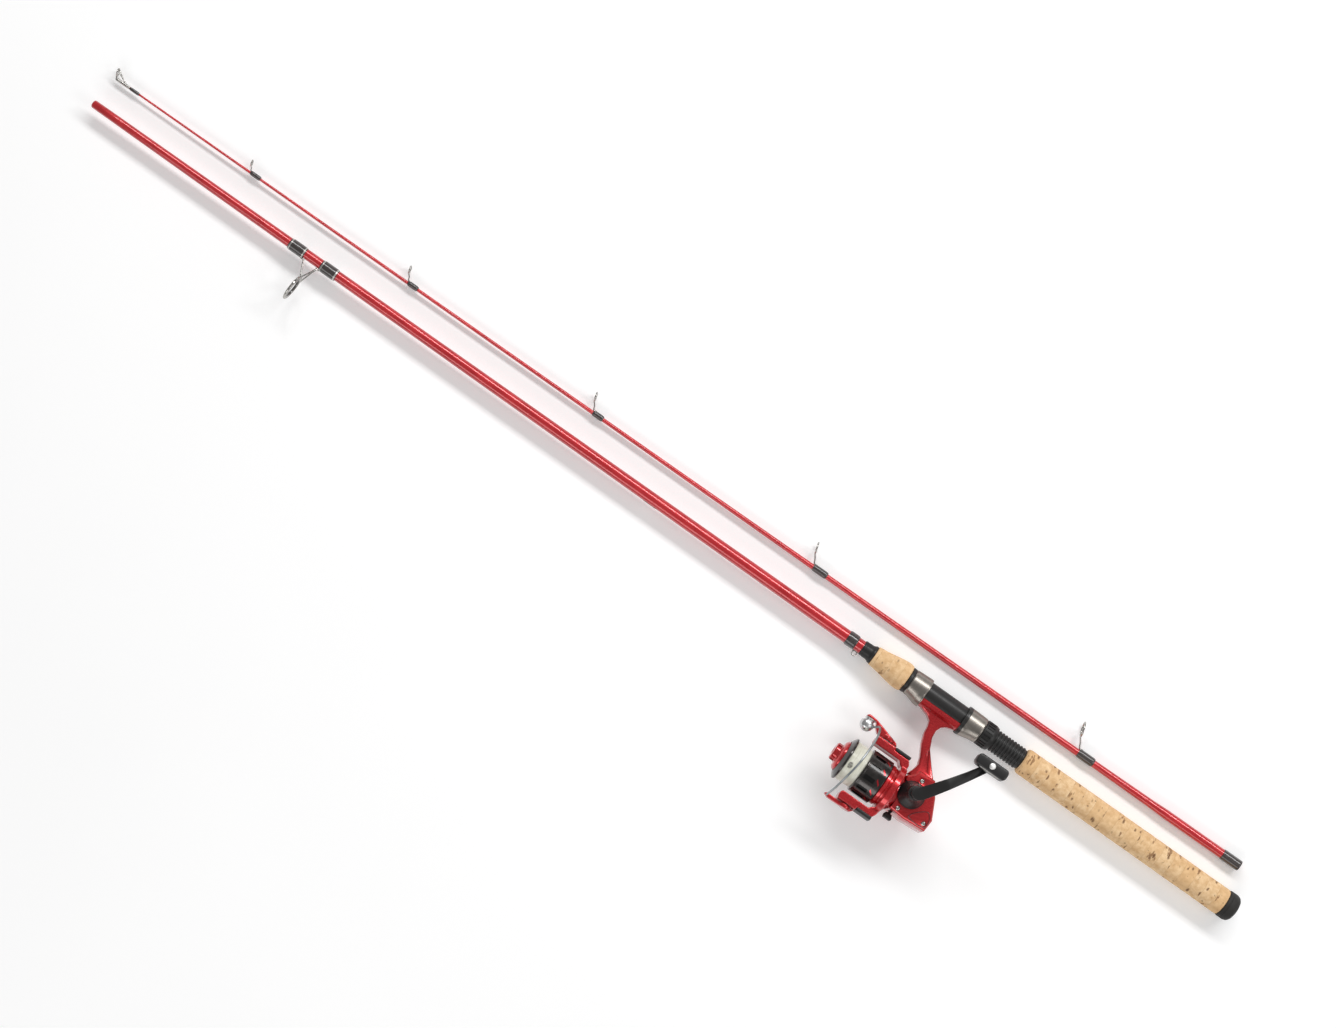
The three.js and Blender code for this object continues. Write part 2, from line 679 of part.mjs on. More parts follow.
// ---------------------------------------------------------------- reel case
const stemOutline = [
  [298, 11.8], [334, 11.8], [333, 14], [325.5, 16.4], [320.6, 20], [319, 26], [318.4, 32], [315.2, 41],
  [309.4, 52], [307.4, 58], [308.6, 63.5], [311, 70], [285, 70], [287.7, 63], [296.4, 53], [306.1, 41],
  [310.4, 31], [310.8, 24], [308.8, 19], [305.2, 16], [299, 14],
];
const caseOutline = [
  [303.8, 63], [304.6, 66.5], [311.6, 73.5], [311.6, 104], [308, 106], [294, 107.3],
  [271.6, 105.6], [270.7, 94], [279.1, 76.2], [287.8, 63],
];
const caseHollow = [[304.6, 71.5], ...caseOutline.slice(2, -1)];
const stemFoot = [317, 11.05];         // middle of the foot's seat in reel coordinates
const reelPlace = [footCentre - stemFoot[0], footInner - stemFoot[1], 0];
reelGroup.position.set(...reelPlace);
const crankAxis = { axis: 'z', at: [crankX, crankY, 0] };
const reelAxis = { axis: 'x', at: [0, reelY, 0] };

function stemSlot() {
  const slot = shapeOf([[305.8, 42.6], [307.6, 43.6], [298.9, 60.2], [297.1, 59.2]]);
  const depth = stemThickness / 2 - 1.2;
  return plate(slot, [depth, stemThickness]).add(plate(slot, [-stemThickness, -depth]));
}

const leverY = 101.5;                  // pivot of the anti-reverse lever
const leverX = [300.6, 308.6];

function reelHousing() {
  const half = stemThickness / 2;
  const stem = cut(plate(shapeOf(stemOutline), [-half, half], stemBevel), stemSlot());
  const shell = plate(shapeOf(caseOutline), [caseBack, caseRim + caseBevel], caseBevel)
    .intersect(block([200, 400], [0, 150], [caseBack - 1, caseRim]));
  const nose = turned([
    [noseStart, 0], [noseStart, noseRadius - 3],
    [noseStart + 3, noseRadius], [noseEnd, noseRadius], [noseEnd, 0],
  ], reelAxis);
  const boss = turned([
    [caseBack + 3, 0], [caseBack + 3, bossRadius + 4],
    [caseBack, bossRadius + 3.4], [bossTop, bossRadius], [bossTop, 0],
  ], crankAxis);
  const hollow = plate(shapeOf(inset(caseHollow, caseWall)), [caseBack + caseWall + 0.5, caseRim + 1]);
  const well = disc(gearFace - gearPlate - 0.6, caseRim + 1, gearRadius + 0.5, crankAxis);
  const ownFoot = foot(0).translate(reelPlace.map((place) => -place));
  const solidCase = join(ownFoot, stem, shell, nose, boss);
  const screwAxes = screwPlaces.map(([x, y]) => ({ axis: 'z', at: [x, y, 0], sides: 12 }));
  const columns = screwAxes.map((place) => disc(3.6, caseRim, screwHead + 0.8, place));
  const holes = screwAxes.map((place) => disc(caseRim - screwLength, caseRim + 1, screwShank + RUN, place));
  const hubWay = disc(coverTop, noseRadius + 1, hubRadius + 2 * GAP, crankAxis);
  const open = cut(solidCase, hollow, well, hubWay);
  const shaftWay = disc(bossTop - 1, caseBack + 8, crankRadius + RUN, crankAxis);
  const pinionWay = disc(noseStart, noseEnd + 1, journalRadius + 0.9, reelAxis);
  const pinionSeat = disc(noseEnd - bearingWidth - FIT, noseEnd + 1, bearingRadius + FIT, reelAxis);
  const slot = block([leverX[0] + 2.2, leverX[1] - 2.2], [leverY - 3, 115], [-4.6, 4.6]);
  return cut(join(open, ...columns), ...holes, shaftWay, pinionWay, pinionSeat, slot);
}
node('reel_housing', reelHousing(), 'redPaint', reelGroup);

function sideCover() {
  const outline = caseOutline;
  const lid = plate(shapeOf(outline), [caseRim - caseBevel - 1, coverTop], caseBevel)
    .intersect(block([200, 400], [0, 150], [caseRim + GAP, coverTop + 1]));
  const noseWay = disc(noseStart - 0.6, noseEnd + 1, noseRadius + GAP, reelAxis);
  const bearingSeat = disc(caseRim, caseRim + GAP + bearingWidth + GAP, bearingRadius + FIT, crankAxis);
  const shaftWay = disc(caseRim, coverTop + 1, crankRadius + RUN, crankAxis);
  const holes = screwPlaces.flatMap(([x, y]) => [
    disc(caseRim, coverTop + 1, screwShank + RUN, { axis: 'z', at: [x, y, 0], sides: 12 }),
    disc(coverTop - 1.5, coverTop + 1, screwHead + RUN, { axis: 'z', at: [x, y, 0], sides: 16 }),
  ]);
  return cut(lid, noseWay, bearingSeat, shaftWay, ...holes);
}
node('side_cover', sideCover(), 'redPaint', reelGroup);

screwPlaces.forEach(([x, y], i) => {
  const place = { axis: 'z', at: [x, y, 0], sides: 16 };
  const head = disc(coverTop - 1.5 + FIT, coverTop + 0.2, screwHead, place);
  const shank = disc(caseRim - screwLength + 1, coverTop - 1, screwShank, { ...place, sides: 12 });
  const drive = block([x - 1.3, x + 1.3], [y - 0.25, y + 0.25], [coverTop - 0.5, coverTop + 1]);
  node(`cover_screw_${i + 1}`, cut(head.add(shank), drive), 'steel', reelGroup);
});

node('side_cap', turned([
  [bossTop - GAP, 0], [bossTop - GAP, bossRadius - 0.2],
  [capReach + 1.2, bossRadius - 0.2], [capReach, bossRadius - 1.2], [capReach, 0],
], crankAxis), 'blackPlastic', reelGroup);

function bearing(from, bore, place) {
  return sleeve(from, from + bearingWidth, bore + RUN / 2, bearingRadius, place);
}
node('handle_bearing', bearing(caseRim + 0.1, crankRadius, crankAxis), 'steel', reelGroup);
node('pinion_bearing', bearing(noseEnd - bearingWidth, journalRadius, reelAxis), 'steel', reelGroup);

// ---------------------------------------------------------------- gears
// Each tooth of the face gear lies along a line that passes the axis at crankOffset, so that
// the tooth in mesh is parallel to the pinion.
function driveGear() {
  const gearRim = sleeve(gearFace - gearPlate, gearFace, 2, gearRadius, crankAxis);
  const shaft = disc(caseBack + 1.4, coverTop + 3, crankRadius, crankAxis);
  const step = disc(gearFace - gearPlate - 0.1, gearFace + 0.6, crankRadius + 0.7, crankAxis);
  const teeth = [];
  const half = toothWidth / 2;
  for (let i = 0; i < gearTeeth; i += 1) {
    const ridge = new THREE.BoxGeometry(gearToothLength, toothWidth, toothHeight + 0.2);
    ridge.translate(gearReach - gearToothLength / 2, crankOffset, gearFace + toothHeight / 2 - 0.1);
    ridge.rotateZ(2 * Math.PI * i / gearTeeth).translate(crankX, crankY, 0);
    teeth.push(solid(ridge));
  }
  const driver = spur(driverTeeth, driverRadius, wheelBase, crankAxis.at, half);
  return join(gearRim, shaft, step, driver, ...teeth);
}

// A plain spur wheel with straight-sided teeth.
function spur(teeth, pitchRadius, base, [x, y], gap, phase = 0) {
  const outline = [];
  const module = 2 * pitchRadius / teeth;
  for (let i = 0; i < teeth; i += 1) {
    const middle = 2 * Math.PI * i / teeth + phase;
    const flank = Math.PI / 2 / teeth - gap / pitchRadius / 3;
    for (const [angle, radius] of [
      [-flank * 1.45, pitchRadius - module * 1.1], [-flank * 0.55, pitchRadius + module * 0.8],
      [flank * 0.55, pitchRadius + module * 0.8], [flank * 1.45, pitchRadius - module * 1.1],
    ]) outline.push([x + radius * Math.cos(middle + angle), y + radius * Math.sin(middle + angle)]);
  }
  return plate(shapeOf(outline), [base, base + wheelWidth]);
}
const wheelDistance = Math.hypot(crankX - wheelX, crankY - wheelY);
const driverRadius = wheelDistance * driverTeeth / (driverTeeth + wheelTeeth);
const wheelRadius = wheelDistance - driverRadius;
node('drive_gear', driveGear(), 'brass', reelGroup);

// The oscillation wheel meshes with the driver on the crank. Its eccentric pin stops just
// above the crosswind block, whose slot it would push.
function oscillationWheel() {
  const toDriver = Math.atan2(crankY - wheelY, crankX - wheelX);
  const fromDriver = toDriver + Math.PI;
  const driverPitch = 2 * Math.PI / driverTeeth;
  const driverPhase = fromDriver / driverPitch - Math.round(fromDriver / driverPitch);
  const phase = toDriver + Math.PI / wheelTeeth + driverPhase * 2 * Math.PI / wheelTeeth;
  const place = { axis: 'z', at: [wheelX, wheelY, 0], sides: 16 };
  const pinPlace = { ...place, at: [wheelX, wheelY + eccentricity, 0] };
  const pin = disc(slideBlock.top + 0.4, wheelBase + 0.5, 1.2, pinPlace);
  const hub = disc(wheelBase + wheelWidth - 0.5, caseRim - 0.1, 2.2, place);
  return join(spur(wheelTeeth, wheelRadius, wheelBase, place.at, toothWidth / 2, phase), pin, hub);
}
node('oscillation_gear', oscillationWheel(), 'blackPlastic', reelGroup);

function pinionGear() {
  const outline = [];
  for (let i = 0; i < pinionTeeth; i += 1) {
    // One space, not a tooth, faces the gear.
    const middle = 2 * Math.PI * (i + 0.5) / pinionTeeth - Math.PI / 2;
    for (const [angle, radius] of [
      [-0.23, pinionRoot], [-0.06, pinionTip], [0.06, pinionTip], [0.23, pinionRoot],
    ]) {
      outline.push([radius * Math.cos(middle + angle), radius * Math.sin(middle + angle)]);
    }
  }
  // The outline's x and y become the reel's y and z, and its depth runs along the reel's x.
  const teeth = new THREE.ExtrudeGeometry(shapeOf(outline), {
    depth: gearToothLength + 0.4,
    bevelEnabled: false,
  });
  teeth.rotateZ(Math.PI / 2).rotateY(Math.PI / 2);
  teeth.translate(crankX + gearReach - gearToothLength - 0.2, reelY, 0);
  const rear = crankX + gearRadius + GAP;
  const neck = disc(crankX + gearReach - 1, rear + 0.5, pinionRoot, reelAxis);
  const journal = disc(rear, pinionEnd, journalRadius, reelAxis);
  const way = disc(300, pinionEnd + 1, shaftRadius + RUN, reelAxis);
  return cut(join(solid(teeth), neck, journal), way);
}
node('pinion_gear', pinionGear(), 'brass', reelGroup);

// ---------------------------------------------------------------- sliding shaft
const shaftFront = 373.6;
const shaft = disc(slideBlock.rear + GAP, shaftFront, shaftRadius, { ...reelAxis, sides: 16 });
node('main_shaft', shaft, 'steel', reelGroup);

function crosswindBlock() {
  const { rear, front, low, high, bottom, top } = slideBlock;
  const body = block([rear, front], [low, high], [bottom, top]);
  const slot = block([wheelX - 1.4, wheelX + 1.4], [low + 2.6, high - 1], [top - 1, top + 1]);
  const way = disc(rear - 1, front + 1, shaftRadius + 0.1, { ...reelAxis, sides: 16 });
  return cut(body, slot, way);
}
node('crosswind_block', crosswindBlock(), 'blackPlastic', reelGroup);

// ---------------------------------------------------------------- rotor
const hubRear = 322.5;
const hubFront = 326.6;
const rotorFront = 338.4;
// Both arms stand in the plane of the rod and the reel, one towards the rod and one away.
const rotorSides = [-1, 1];

function armOutline(side) {
  return shapeOf([
    [flangeRear + 1, 21], [flangeRear + 1, 26],
    [flangeRear + 4.6, armOuter - 1.4], [flangeRear + 8, armOuter + 2],
    [armFront - 2, armOuter + 2], [armFront, armOuter - 3],
    [armFront, armInner + 1.2], [armFront - 2.4, armInner - 3],
    [flangeFront + 4.6, armInner - 1], [flangeFront + 2.2, 22.4], [flangeFront - 0.2, 21],
  ].map(([x, r]) => [x, reelY + side * r]));
}

function rotorArm(side) {
  const blank = plate(armOutline(side), [-armHalfWidth, armHalfWidth]);
  const round = disc(flangeRear, armFront + 1, armOuter, { ...reelAxis, sides: 32 });
  const inside = disc(flangeFront + 4.4, armFront + 1, armInner, { ...reelAxis, sides: 32 });
  const recess = sleeve(flangeRear + 3, flangeRear + 19, armOuter - coverDepth - GAP, armOuter + 4, {
    ...reelAxis, sides: 32,
  });
  return cut(blank.intersect(round), inside, recess);
}

function rotorBody() {
  const cup = turned([
    [flangeRear, 20.3], [flangeRear, flangeRadius - 1], [flangeRear + 1, flangeRadius],
    [flangeFront - 0.8, flangeRadius],
    [flangeFront, flangeRadius - 0.8],
    [flangeFront + 0.2, rimRadius - 0.8],
    [flangeFront + 1, rimRadius - 0.8], [flangeFront + 1.4, rimRadius], [skirtRear - 0.5, rimRadius],
    [skirtRear - 0.3, drumRadius], [rotorFront, drumRadius], [rotorFront, drumBore], [hubFront, drumBore],
    [hubFront, journalRadius + RUN], [hubRear, journalRadius + RUN],
    [hubRear, drumBore], [317.3, 17.2], [317.3, 20.3],
    [flangeRear, 20.3],
  ], { ...reelAxis, sides: 28 });
  return join(cup, ...rotorSides.map(rotorArm));
}
node('rotor', rotorBody(), 'redPaint', reelGroup);

const nutHex = turned([
  [hubFront + GAP, journalRadius + FIT], [hubFront + GAP, 6],
  [hubFront + 3.2, 6], [hubFront + 3.2, journalRadius + FIT],
  [hubFront + GAP, journalRadius + FIT],
], { ...reelAxis, sides: 6 });
const nutBore = disc(hubFront, hubFront + 4, journalRadius + FIT, reelAxis);
node('rotor_nut', cut(nutHex, nutBore), 'brass', reelGroup);

for (const side of rotorSides) {
  const band = sleeve(flangeRear + 3 + GAP, flangeRear + 19 - GAP, armOuter - coverDepth, armOuter + 0.3, {
    ...reelAxis, sides: 32,
  });
  const half = side < 0 ? [0, reelY] : [reelY, 200];
  const lid = band.intersect(block([300, 360], half, [-armHalfWidth, armHalfWidth]));
  node(side < 0 ? 'arm_cover_1' : 'arm_cover_2', lid, 'blackPlastic', reelGroup);
}

// ---------------------------------------------------------------- bail
const onRodSide = (r) => reelY - r;
const awayFromRod = (r) => reelY + r;
const bailAxis = { axis: 'y', at: [bailX, 0, 0], sides: 16 };
const rollerAxis = { axis: 'y', at: [rollerX, 0, 0], sides: 16 };

// The bail arm turns on the rotor arm nearest the rod and ends in a lug above the roller.
function bailArm() {
  const outline = shapeOf([
    [bailX - 9.4, bailStand], [bailX - 7, bailStand + 3], [rollerX - 6, 44.4],
    [rollerX + 3, 45.2], [rollerX + 5, 42.8], [rollerX - 5.6, 42.4],
    [rollerX - 8.4, 37.6], [armFront + 1.4, bailStand],
  ].map(([x, r]) => [x, onRodSide(r)]));
  const pivot = disc(onRodSide(bailStand + 3.4), onRodSide(bailStand), 6, bailAxis);
  return plate(outline, [-3.4, 3.4], 0.5).add(pivot);
}
node('bail_arm', bailArm(), 'redPaint', reelGroup);

function bailLever() {
  const outline = shapeOf([
    [bailX - 9, bailStand], [bailX - 6, bailStand + 3.4], [358, bailStand + 3.8],
    [362.4, bailStand + 1.8], [361, bailStand], [armFront + 1, bailStand],
  ].map(([x, r]) => [x, awayFromRod(r)]));
  const pivot = disc(awayFromRod(bailStand), awayFromRod(bailStand + 3.4), 6, bailAxis);
  return plate(outline, [-3.2, 3.2], 0.5).add(pivot);
}
node('bail_lever', bailLever(), 'redPaint', reelGroup);

// A wire hoop from the ball beside the roller, over the handle side of the spool, to the lever.
function bailWire() {
  const hoop = wire([
    [rollerX - 3.4, onRodSide(34.6), 2], [rollerX - 7.4, onRodSide(37.6), 9], [355, onRodSide(36.2), 20],
    [353.8, onRodSide(24), 32.6], [355, reelY, 41], [357.4, awayFromRod(18), 37.4],
    [359.2, awayFromRod(31), 23.5], [359.6, awayFromRod(bailStand + 1.9), 3.6],
  ], wireRadius, 24, 8);
  const round = [];
  for (let angle = 0; angle <= 110; angle += 18) {
    const turn = THREE.MathUtils.degToRad(angle);
    round.push([onRodSide(ballCentre - ballRadius * Math.cos(turn)), ballRadius * Math.sin(turn)]);
  }
  const ball = turned([...round, [round.at(-1)[0], 0]], rollerAxis);
  return hoop.add(ball);
}
node('bail_wire', bailWire(), 'chrome', reelGroup);

const rollerInner = onRodSide(ballCentre - ballRadius * Math.cos(THREE.MathUtils.degToRad(108)) + GAP);
node('line_roller', turned([
  [rollerInner, 0], [rollerInner, rollerRadius], [rollerInner - 0.7, rollerRadius - 0.9],
  [rollerInner - 1.9, rollerRadius - 0.9], [onRodSide(42), rollerRadius], [onRodSide(42), 0],
], rollerAxis), 'chrome', reelGroup);

// ---------------------------------------------------------------- spool and drag
const spoolHub = 4;
node('spool', turned([
  [skirtRear, skirtRadius - skirtWall], [skirtRear, skirtRadius],
  [lineStart - 0.8, skirtRadius], [lineStart, skirtRadius - 0.8],
  [lineStart, coreRadius], [lineEnd, coreRadius], [lineEnd, lipRadius - 0.4],
  [lineEnd + 0.8, lipRadius], [lineEnd + 2.2, lipRadius - 0.2],
  [spoolFront, dragRecess + 0.9], [spoolFront, dragRecess],
  [dragSeat, dragRecess], [dragSeat, shaftRadius + RUN],
  [336, shaftRadius + RUN], [336, spoolHub], [344, spoolHub],
  [344, skirtRadius - skirtWall], [skirtRear, skirtRadius - skirtWall],
], { ...reelAxis, sides: 28 }), 'blackPlastic', reelGroup);

const winding = sleeve(lineStart + FIT, lineEnd - FIT, coreRadius + FIT, lineRadius, {
  ...reelAxis, sides: 28,
});
node('line_winding', winding, 'line', reelGroup);
const washer = sleeve(dragSeat + FIT, dragSeat + 1.5, shaftRadius + RUN, 11, reelAxis);
node('drag_washer', washer, 'fibre', reelGroup);

function dragKnob() {
  const base = dragSeat + 1.8;
  const body = turned([
    [base, 0], [base, dragRecess - 0.4], [368.6, dragRecess - 0.4],
    [370.8, dragRecess - 3], [371.6, dragKnobRadius],
    [dragKnobEnd - 0.8, dragKnobRadius], [dragKnobEnd, dragKnobRadius - 1], [dragKnobEnd, 0],
  ], reelAxis);
  let knob = cut(body, disc(base - 1, shaftFront + GAP, shaftRadius + RUN, reelAxis));
  for (let i = 0; i < dragRidges; i += 1) {
    const angle = 2 * Math.PI * i / dragRidges;
    const away = dragKnobRadius + 0.5;
    const at = [0, reelY + away * Math.cos(angle), away * Math.sin(angle)];
    knob = cut(knob, disc(371.8, dragKnobEnd + 1, 1.2, { at, sides: 8 }));
  }
  return knob;
}
node('drag_knob', dragKnob(), 'redPaint', reelGroup);

// ---------------------------------------------------------------- handle
const hubBase = coverTop + GAP + 0.2;
function handleHub() {
  const body = turned([
    [hubBase, 0], [hubBase, hubRadius], [hubBase + 2, hubRadius], [20, 10.4],
    [27, 7.4], [hubTop - 1.2, 6.8], [hubTop, 5.8], [hubTop, 0],
  ], crankAxis);
  return cut(body, disc(hubBase - 1, coverTop + 3 + GAP, crankRadius + FIT, crankAxis));
}
node('handle_hub', handleHub(), 'blackPlastic', reelGroup);

const knobAxis = { axis: 'z', at: [knobX, knobY, 0], sides: 16 };
const armTop = hubTop + GAP + armLift + armThickness;
function handleArm() {
  // The outline is drawn with u along the arm from the crank axis and v across it.
  const place = (u, v) => [
    crankX + Math.cos(armAngle) * u - Math.sin(armAngle) * v,
    crankY + Math.sin(armAngle) * u + Math.cos(armAngle) * v,
  ];
  const end = armLength + 5.4;
  const shape = new THREE.Shape();
  shape.moveTo(...place(-3, 4.4));
  shape.bezierCurveTo(...place(-8, 0), ...place(-4, -7.6), ...place(2, -7.6));
  shape.quadraticCurveTo(...place(22, -8), ...place(armLength, -3.6));
  shape.bezierCurveTo(...place(end, -3.4), ...place(end, 3.4), ...place(armLength, 3.6));
  shape.quadraticCurveTo(...place(26, 1.4), ...place(-3, 4.4));
  const low = hubTop + GAP;
  const high = low + armLift;
  // The side profile: along the arm in x, and up in y, before it is stood up and turned.
  const profile = new THREE.ExtrudeGeometry(shapeOf([
    [-12, low], [5, low], [26, high], [armLength + 10, high], [armLength + 10, high + armThickness],
    [24, high + armThickness], [3, low + armThickness], [-12, low + armThickness],
  ]), { depth: 30, bevelEnabled: false });
  profile.translate(0, 0, -15).rotateX(Math.PI / 2).rotateZ(armAngle).translate(crankX, crankY, 0);
  const arm = plate(shape, [low - 1, high + armThickness + 1]).intersect(solid(profile));
  return cut(arm, disc(armTop - armThickness + 1.5, armTop + 1, pinRadius + FIT, knobAxis));
}
node('handle_arm', handleArm(), 'blackPlastic', reelGroup);

function handleKnob() {
  const { length, width, low, high } = knobSize;
  const [l, w, round] = [length / 2, width / 2, 3.4];
  const shape = new THREE.Shape();
  shape.absarc(l - round, w - round, round, 0, Math.PI / 2);
  shape.absarc(-l + round, w - round, round, Math.PI / 2, Math.PI);
  shape.absarc(-l + round, -w + round, round, Math.PI, 1.5 * Math.PI);
  shape.absarc(l - round, -w + round, round, 1.5 * Math.PI, 2 * Math.PI);
  const paddle = plate(shape, [low, high], 1.6).translate([knobX - 0.6, knobY, 0]);
  const neck = turned([
    [armTop + 0.4, 0], [armTop + 0.4, knobNeck], [low - 1.5, knobNeck - 0.6],
    [low + 2, knobNeck + 1], [low + 2, 0],
  ], knobAxis);
  return cut(paddle.add(neck), disc(armTop, high + 1, pinRadius + RUN, knobAxis));
}
node('handle_knob', handleKnob(), 'blackPlastic', reelGroup);

const rivetFoot = armTop - armThickness + 1.5 + FIT;
const rivetHead = knobSize.high + 0.3;
const rivet = turned([
  [rivetFoot, 0], [rivetFoot, pinRadius], [rivetHead, pinRadius], [rivetHead, 3],
  [rivetHead + 0.6, 2.8], [rivetHead + 1.1, 1.6], [rivetHead + 1.1, 0],
], knobAxis);
node('knob_pin', rivet, 'chrome', reelGroup);

// ---------------------------------------------------------------- anti-reverse lever
function reverseLever() {
  const barrel = disc(leverX[0] + 1, leverX[1] - 1, 1.7, { at: [0, leverY, 0], sides: 12 });
  const stem = block([leverX[0] + 2.6, leverX[1] - 2.6], [leverY, 109], [-1.1, 1.1]);
  const tab = plate(shapeOf([
    [leverX[0] + 1, 108.6], [leverX[1] - 1, 108.6], [leverX[1], 111],
    [leverX[1] - 0.6, 114], [leverX[0], 114], [leverX[0] - 0.6, 112.4],
  ]), [-3, 3], 0.8);
  return join(barrel, stem, tab);
}
node('anti_reverse_lever', reverseLever(), 'blackPlastic', reelGroup);

// ---------------------------------------------------------------- the whole object
tipGroup.rotation.order = 'ZYX';
tipGroup.rotation.set(tipRoll, 0, tipYaw);
tipGroup.position.set(tipStart, tipSide, surface + ferruleWrapRadius + 0.05);
sideGroup.rotation.x = reelTilt;

const rodAndReel = new THREE.Group();
rodAndReel.add(rodGroup, tipGroup, sideGroup);

export default rodAndReel;
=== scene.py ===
# %% [markdown]
# # A spinning rod and its reel
# This lesson finishes a two-piece fishing rod with a spinning reel. The solids come from the
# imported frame: they already have the true places and the joints. Here every piece that shows
# gets a finer mesh where it needs one, and a material built from nodes.
# Everything is in metres, on the frame's axes: +X along the rod, +Y to the reel side, +Z up.

# %% Load the frame
import json
import math

import bpy
from mathutils import Matrix, Vector

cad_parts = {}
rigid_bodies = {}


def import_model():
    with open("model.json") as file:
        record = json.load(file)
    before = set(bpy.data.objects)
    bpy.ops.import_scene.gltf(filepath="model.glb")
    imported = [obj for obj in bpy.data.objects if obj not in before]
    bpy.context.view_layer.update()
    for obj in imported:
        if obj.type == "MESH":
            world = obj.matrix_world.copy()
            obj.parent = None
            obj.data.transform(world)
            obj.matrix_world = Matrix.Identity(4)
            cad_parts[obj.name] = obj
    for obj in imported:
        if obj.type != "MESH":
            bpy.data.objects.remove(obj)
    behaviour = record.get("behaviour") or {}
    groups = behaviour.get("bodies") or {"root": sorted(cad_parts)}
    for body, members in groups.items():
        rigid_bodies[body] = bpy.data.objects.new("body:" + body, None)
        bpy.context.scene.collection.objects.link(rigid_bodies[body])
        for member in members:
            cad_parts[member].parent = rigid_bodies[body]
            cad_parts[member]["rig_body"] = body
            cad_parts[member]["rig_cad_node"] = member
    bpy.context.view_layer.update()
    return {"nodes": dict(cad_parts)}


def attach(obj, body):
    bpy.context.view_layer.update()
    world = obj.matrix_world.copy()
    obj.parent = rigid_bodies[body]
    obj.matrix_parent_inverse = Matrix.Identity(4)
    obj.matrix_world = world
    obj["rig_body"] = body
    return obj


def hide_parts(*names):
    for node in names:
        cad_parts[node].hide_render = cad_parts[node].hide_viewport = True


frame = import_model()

# %% [markdown]
# ## Where things are
# Lengths are easier to read in millimetres, so one constant turns them into metres. Three
# groups of pieces share a place of their own. The butt section lies along X through the
# origin. The reel is the same frame tipped 12 degrees about that line, so that its side cap
# rests on the floor. The tip section lies beside the butt, rolled until its guides touch down.

# %% Units and places
MM = 0.001
REEL = Matrix.Rotation(math.radians(12), 4, "X")
TIP = (
    Matrix.Translation((18 * MM, -35 * MM, -8.4 * MM))
    @ Matrix.Rotation(math.atan2(5, 1212), 4, "Z")
    @ Matrix.Rotation(math.radians(172), 4, "X")
)
FLOOR = -13.5 * MM
ROTOR_Y = 90.8          # rotor and spool turn about this line
CRANK = (299.0, 86.0)   # the crank turns about this point, in the reel's own x and y

# %% [markdown]
# ## Working by operator
# The mesh operators act on whatever is selected, as they do by hand. These helpers clear the
# selection, pick one object, and step in and out of edit mode. A modifier is always applied
# at once, so what is printed is what will be seen.

# %% Selection and modifiers
def pick(piece):
    bpy.ops.object.select_all(action="DESELECT")
    piece.select_set(True)
    bpy.context.view_layer.objects.active = piece


def edit(piece, mode="VERT", everything=True):
    pick(piece)
    bpy.ops.object.mode_set(mode="EDIT")
    bpy.ops.mesh.select_mode(type=mode)
    bpy.ops.mesh.select_all(action="SELECT" if everything else "DESELECT")


def leave():
    bpy.ops.object.mode_set(mode="OBJECT")


def modify(piece, kind, **settings):
    pick(piece)
    modifier = piece.modifiers.new(kind.title(), kind)
    for name, value in settings.items():
        setattr(modifier, name, value)
    bpy.ops.object.modifier_apply(modifier=modifier.name)


def tidy_mesh(piece):
    edit(piece)
    bpy.ops.mesh.remove_doubles(threshold=2e-6)
    bpy.ops.mesh.normals_make_consistent(inside=False)
    leave()


def smooth(piece, angle=32):
    pick(piece)
    bpy.ops.object.shade_smooth_by_angle(angle=math.radians(angle))


def settle(piece, place):
    """Puts a piece that was made in its group's own coordinates into the frame."""
    piece.matrix_world = place
    pick(piece)
    bpy.ops.object.transform_apply(location=True, rotation=True, scale=True)


def join(name, pieces):
    pick(pieces[0])
    for other in pieces[1:]:
        other.select_set(True)
    bpy.ops.object.join()
    pieces[0].name = name
    return pieces[0]


bpy.ops.object.select_all(action="DESELECT")

# %% [markdown]
# ## Three ways to make a piece
# Most of a rod is turned work: cork, blank, thread wraps, knobs. A turned piece starts as a
# plane that is merged to one point. The point is extruded along the profile, and the profile
# is spun about its axis. Round wire, such as a guide's leg, is a circle extruded along its
# path. A cast piece starts from the frame's own solid: its loose triangles are merged, its
# flat faces dissolved, and its edges broken with a small bevel, as a mould leaves them.

# %% Turned pieces
AXES = {
    "x": (Vector((1, 0, 0)), Vector((0, 1, 0))),
    "y": (Vector((0, 1, 0)), Vector((1, 0, 0))),
    "z": (Vector((0, 0, 1)), Vector((1, 0, 0))),
}


def turned(name, profile, axis="x", at=(0, 0, 0), sides=48, arc=360):
    """profile: (place along the axis, radius) in mm; it starts and ends on the axis or on itself."""
    along, out = AXES[axis]
    points = [(Vector(at) + along * place + out * radius) * MM for place, radius in profile]
    bpy.ops.object.select_all(action="DESELECT")
    bpy.ops.mesh.primitive_plane_add(size=MM, location=points[0])
    piece = bpy.context.object
    piece.name = name
    bpy.ops.object.transform_apply(location=True, rotation=True, scale=True)
    edit(piece)
    bpy.ops.mesh.merge(type="CENTER")
    for before, after in zip(points, points[1:]):
        bpy.ops.mesh.extrude_region_move(TRANSFORM_OT_translate={"value": after - before})
    bpy.ops.mesh.select_all(action="SELECT")
    bpy.ops.mesh.spin(steps=sides, angle=math.radians(arc), center=Vector(at) * MM, axis=along)
    bpy.ops.mesh.select_all(action="SELECT")
    bpy.ops.mesh.remove_doubles(threshold=2e-6)
    bpy.ops.mesh.normals_make_consistent(inside=False)
    leave()
    return piece


